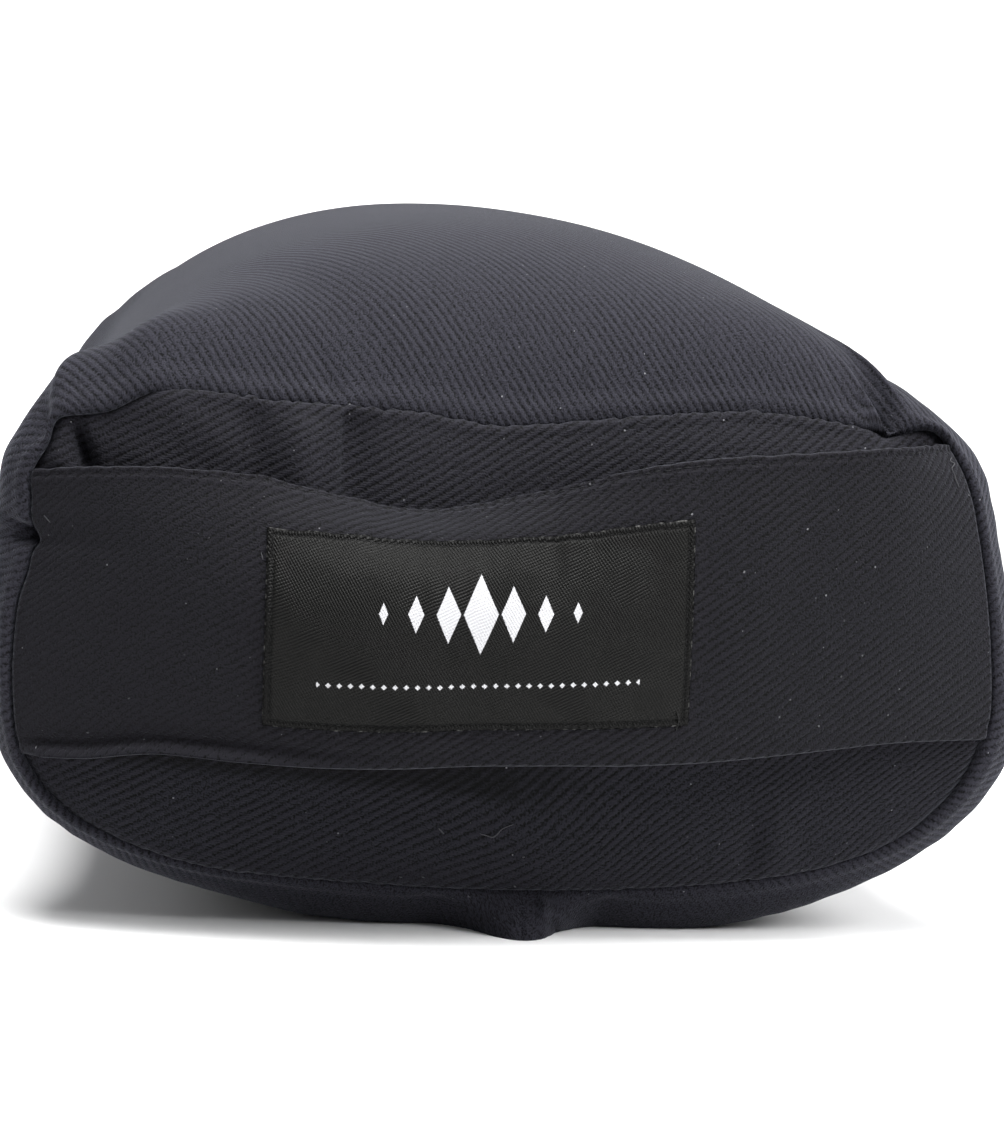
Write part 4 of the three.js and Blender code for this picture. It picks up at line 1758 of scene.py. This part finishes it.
@dataclass
class Lint:
    """Loose threads and fibres, laid on whatever they meet when they drop back from the front."""

    name: str
    threads: tuple[LooseThread, ...]
    sides: int = 8
    points: int = 40
    start: float = -600.0
    lifted: float = 0.4
    taper: int = 6

    def laid(self, thread: LooseThread) -> np.ndarray:
        """The thread's middle line: smooth between its points and a little above the surface."""
        course = np.array(thread.course)
        steps = np.linspace(0, len(course) - 1, self.points)
        slopes = np.gradient(course, axis=0)
        line = hermite(np.arange(len(course)), course, slopes, steps)
        depsgraph = bpy.context.evaluated_depsgraph_get()
        found = []
        for x, z in line:
            start = Vector((x, self.start, z)) * MM
            hit, place, normal, *_ = bpy.context.scene.ray_cast(depsgraph, start, Vector((0, 1, 0)))
            if hit:
                found.append(np.array(place + normal * (thread.thickness * self.lifted * MM)) / MM)
        return np.array(found)

    def tube(self, thread: LooseThread) -> bpy.types.Object:
        """The thread as a thin tube that tapers to both ends."""
        line = self.laid(thread)
        along = unit(np.gradient(line, axis=0))
        side = unit(np.cross(along, np.array([0, 1, 0])))
        up = np.cross(side, along)
        t = np.linspace(-1, 1, len(line))[:, None, None]
        radius = thread.thickness / 2 * np.sqrt(np.maximum(1 - t**self.taper, 0))
        turn = np.linspace(0, 2 * math.pi, self.sides + 1)[None, :, None]
        points = line[:, None] + radius * (side[:, None] * np.cos(turn) + up[:, None] * np.sin(turn))
        return cloth_grid(thread.name, points, stacked(t[..., 0] * len(line), turn[..., 0]))

    def build(self, material: bpy.types.Material, slot: str) -> bpy.types.Object:
        """Builds and dresses the threads as one piece."""
        bpy.context.view_layer.update()
        pieces = [self.tube(thread) for thread in self.threads]
        return dress(joined(pieces, self.name), material, slot)


@dataclass(frozen=True)
class SoftLight:
    """A soft square light: its place, aim and side in metres, its watts and its beam in degrees."""

    name: str
    place: Triple
    aim: Triple
    size: float
    power: float
    spread: float

    def build(self) -> None:
        """Adds the light."""
        deselect()
        bpy.ops.object.light_add(type="AREA", location=self.place)
        light = bpy.context.object
        light.name = self.name
        light.data.shape = "SQUARE"
        light.data.size = self.size
        light.data.energy = self.power
        light.data.spread = math.radians(self.spread)
        light.rotation_euler = (Vector(self.aim) - Vector(self.place)).to_track_quat("-Z", "Y").to_euler()


LIGHTS = (
    SoftLight("overhead", (0.0, -0.42, 1.7), (0, -0.25, 0.2), 1.3, 32, 110),
    SoftLight("right", (1.5, -1.2, 1.3), (0, -0.3, 0.1), 1.0, 13, 90),
    SoftLight("front", (0.0, -1.2, 1.8), (0, -0.3, 0.1), 1.2, 3.6, 90),
    SoftLight("behind", (0.5, 1.9, 1.2), (0, 0, 0.15), 1.4, 4.5, 120),
    SoftLight("right side", (1.6, 0.2, 0.9), (0, 0, 0.15), 1.2, 6.4, 110),
    SoftLight("left side", (-1.6, 0.2, 0.9), (0, 0, 0.15), 1.2, 1.8, 110),
    SoftLight("backdrop", (0.0, 1.6, 1.9), (0, 4.5, 0.9), 2.0, 130, 180),
)


@dataclass
class Studio:
    """The camera, with its aim and distance in millimetres, the pale floor in metres and the soft lights."""

    aim: Triple = (-2.6, -295.0, 116.0)
    distance: float = 1150.0
    elevation: float = 6.0
    azimuth: float = -4.8
    roll: float = 1.9
    focal_pixels: float = 3718.0
    picture_height: float = 1132.0
    sensor: float = 36.0
    floor_width: float = 14.0
    floor_length: float = 9.0
    floor_front: float = 3.5
    sweep_start: float = 2.6
    sweep_radius: float = 1.4
    lights: tuple[SoftLight, ...] = LIGHTS
    sky: Triple = (0.98, 0.985, 1.0)
    sky_strength: float = 0.29

    def camera(self) -> None:
        """Adds the camera at the photograph's angle."""
        tilt, turn, roll = (math.radians(angle) for angle in (self.elevation, self.azimuth, self.roll))
        back = Vector((math.sin(turn) * math.cos(tilt), -math.cos(turn) * math.cos(tilt), math.sin(tilt)))
        right = Vector((math.cos(turn), math.sin(turn), 0))
        up = back.cross(right)
        tilted_right = right * math.cos(roll) + up * math.sin(roll)
        tilted_up = up * math.cos(roll) - right * math.sin(roll)
        place = (Vector(self.aim) + back * self.distance) * MM
        bpy.ops.object.camera_add()
        camera = bpy.context.object
        camera.name = "camera"
        facing = Matrix((tilted_right, tilted_up, back)).transposed().to_4x4()
        camera.matrix_world = Matrix.Translation(place) @ facing
        camera.data.sensor_width = self.sensor
        camera.data.lens = self.focal_pixels / self.picture_height * self.sensor
        bpy.context.scene.camera = camera

    def floor(self) -> None:
        """Adds the floor, which sweeps up into a backdrop far behind."""
        deselect()
        bpy.ops.mesh.primitive_grid_add(x_subdivisions=8, y_subdivisions=60, size=1)
        floor = bpy.context.object
        floor.name = "floor"
        radius = self.sweep_radius
        for vertex in floor.data.vertices:
            along = (vertex.co.y + 0.5) * self.floor_length - self.floor_front
            bend = max(0.0, along - self.sweep_start)
            angle = min(bend / radius, math.pi / 2)
            rise = radius * (1 - math.cos(angle)) + max(0.0, bend - radius * math.pi / 2)
            flat = min(along, self.sweep_start)
            vertex.co = (vertex.co.x * self.floor_width, flat + radius * math.sin(angle), rise)
        bpy.ops.object.shade_smooth()
        floor.data.materials.append(Paper().material())

    def surroundings(self) -> None:
        """Adds the pale surroundings."""
        world = bpy.data.worlds.new("surroundings")
        bpy.context.scene.world = world
        world.use_nodes = True
        inputs = world.node_tree.nodes["Background"].inputs
        inputs["Color"].default_value = rgba(self.sky)
        inputs["Strength"].default_value = self.sky_strength

    def build(self) -> None:
        """Builds the camera, the floor and the lights."""
        self.camera()
        self.floor()
        for light in self.lights:
            light.build()
        self.surroundings()
        bpy.context.scene.view_settings.view_transform = "Standard"


def main() -> None:
    """Builds the bolster and the studio around it."""
    logging.basicConfig(level=logging.INFO, format="%(name)s %(message)s")
    Studio().build()
    shape = Shape()
    Tube(shape).build(TUBE_TWILL.material())
    panel_twill = PANEL_TWILL.material()
    EndPanel(shape, End.FRONT, "front_panel", "end_panel_front").build(panel_twill)
    EndPanel(shape, End.BACK, "back_panel", "end_panel_back").build(panel_twill)
    strap = Strap(shape)
    strap.build(STRAP_TWILL.material())
    label = Label(strap)
    label.build(Satin("label_satin", *label.size).material())
    strap_thread, label_thread = (thread.material() for thread in (STRAP_THREAD, LABEL_THREAD))
    Sewing(strap, label).build(strap_thread, label_thread)
    Lint("loose_threads", PALE_THREADS).build(PALE_THREAD.material(), "panel_twill")
    Lint("label_thread_tail", LABEL_TAIL).build(label_thread, "label_satin")


if __name__ == "__main__":
    main()
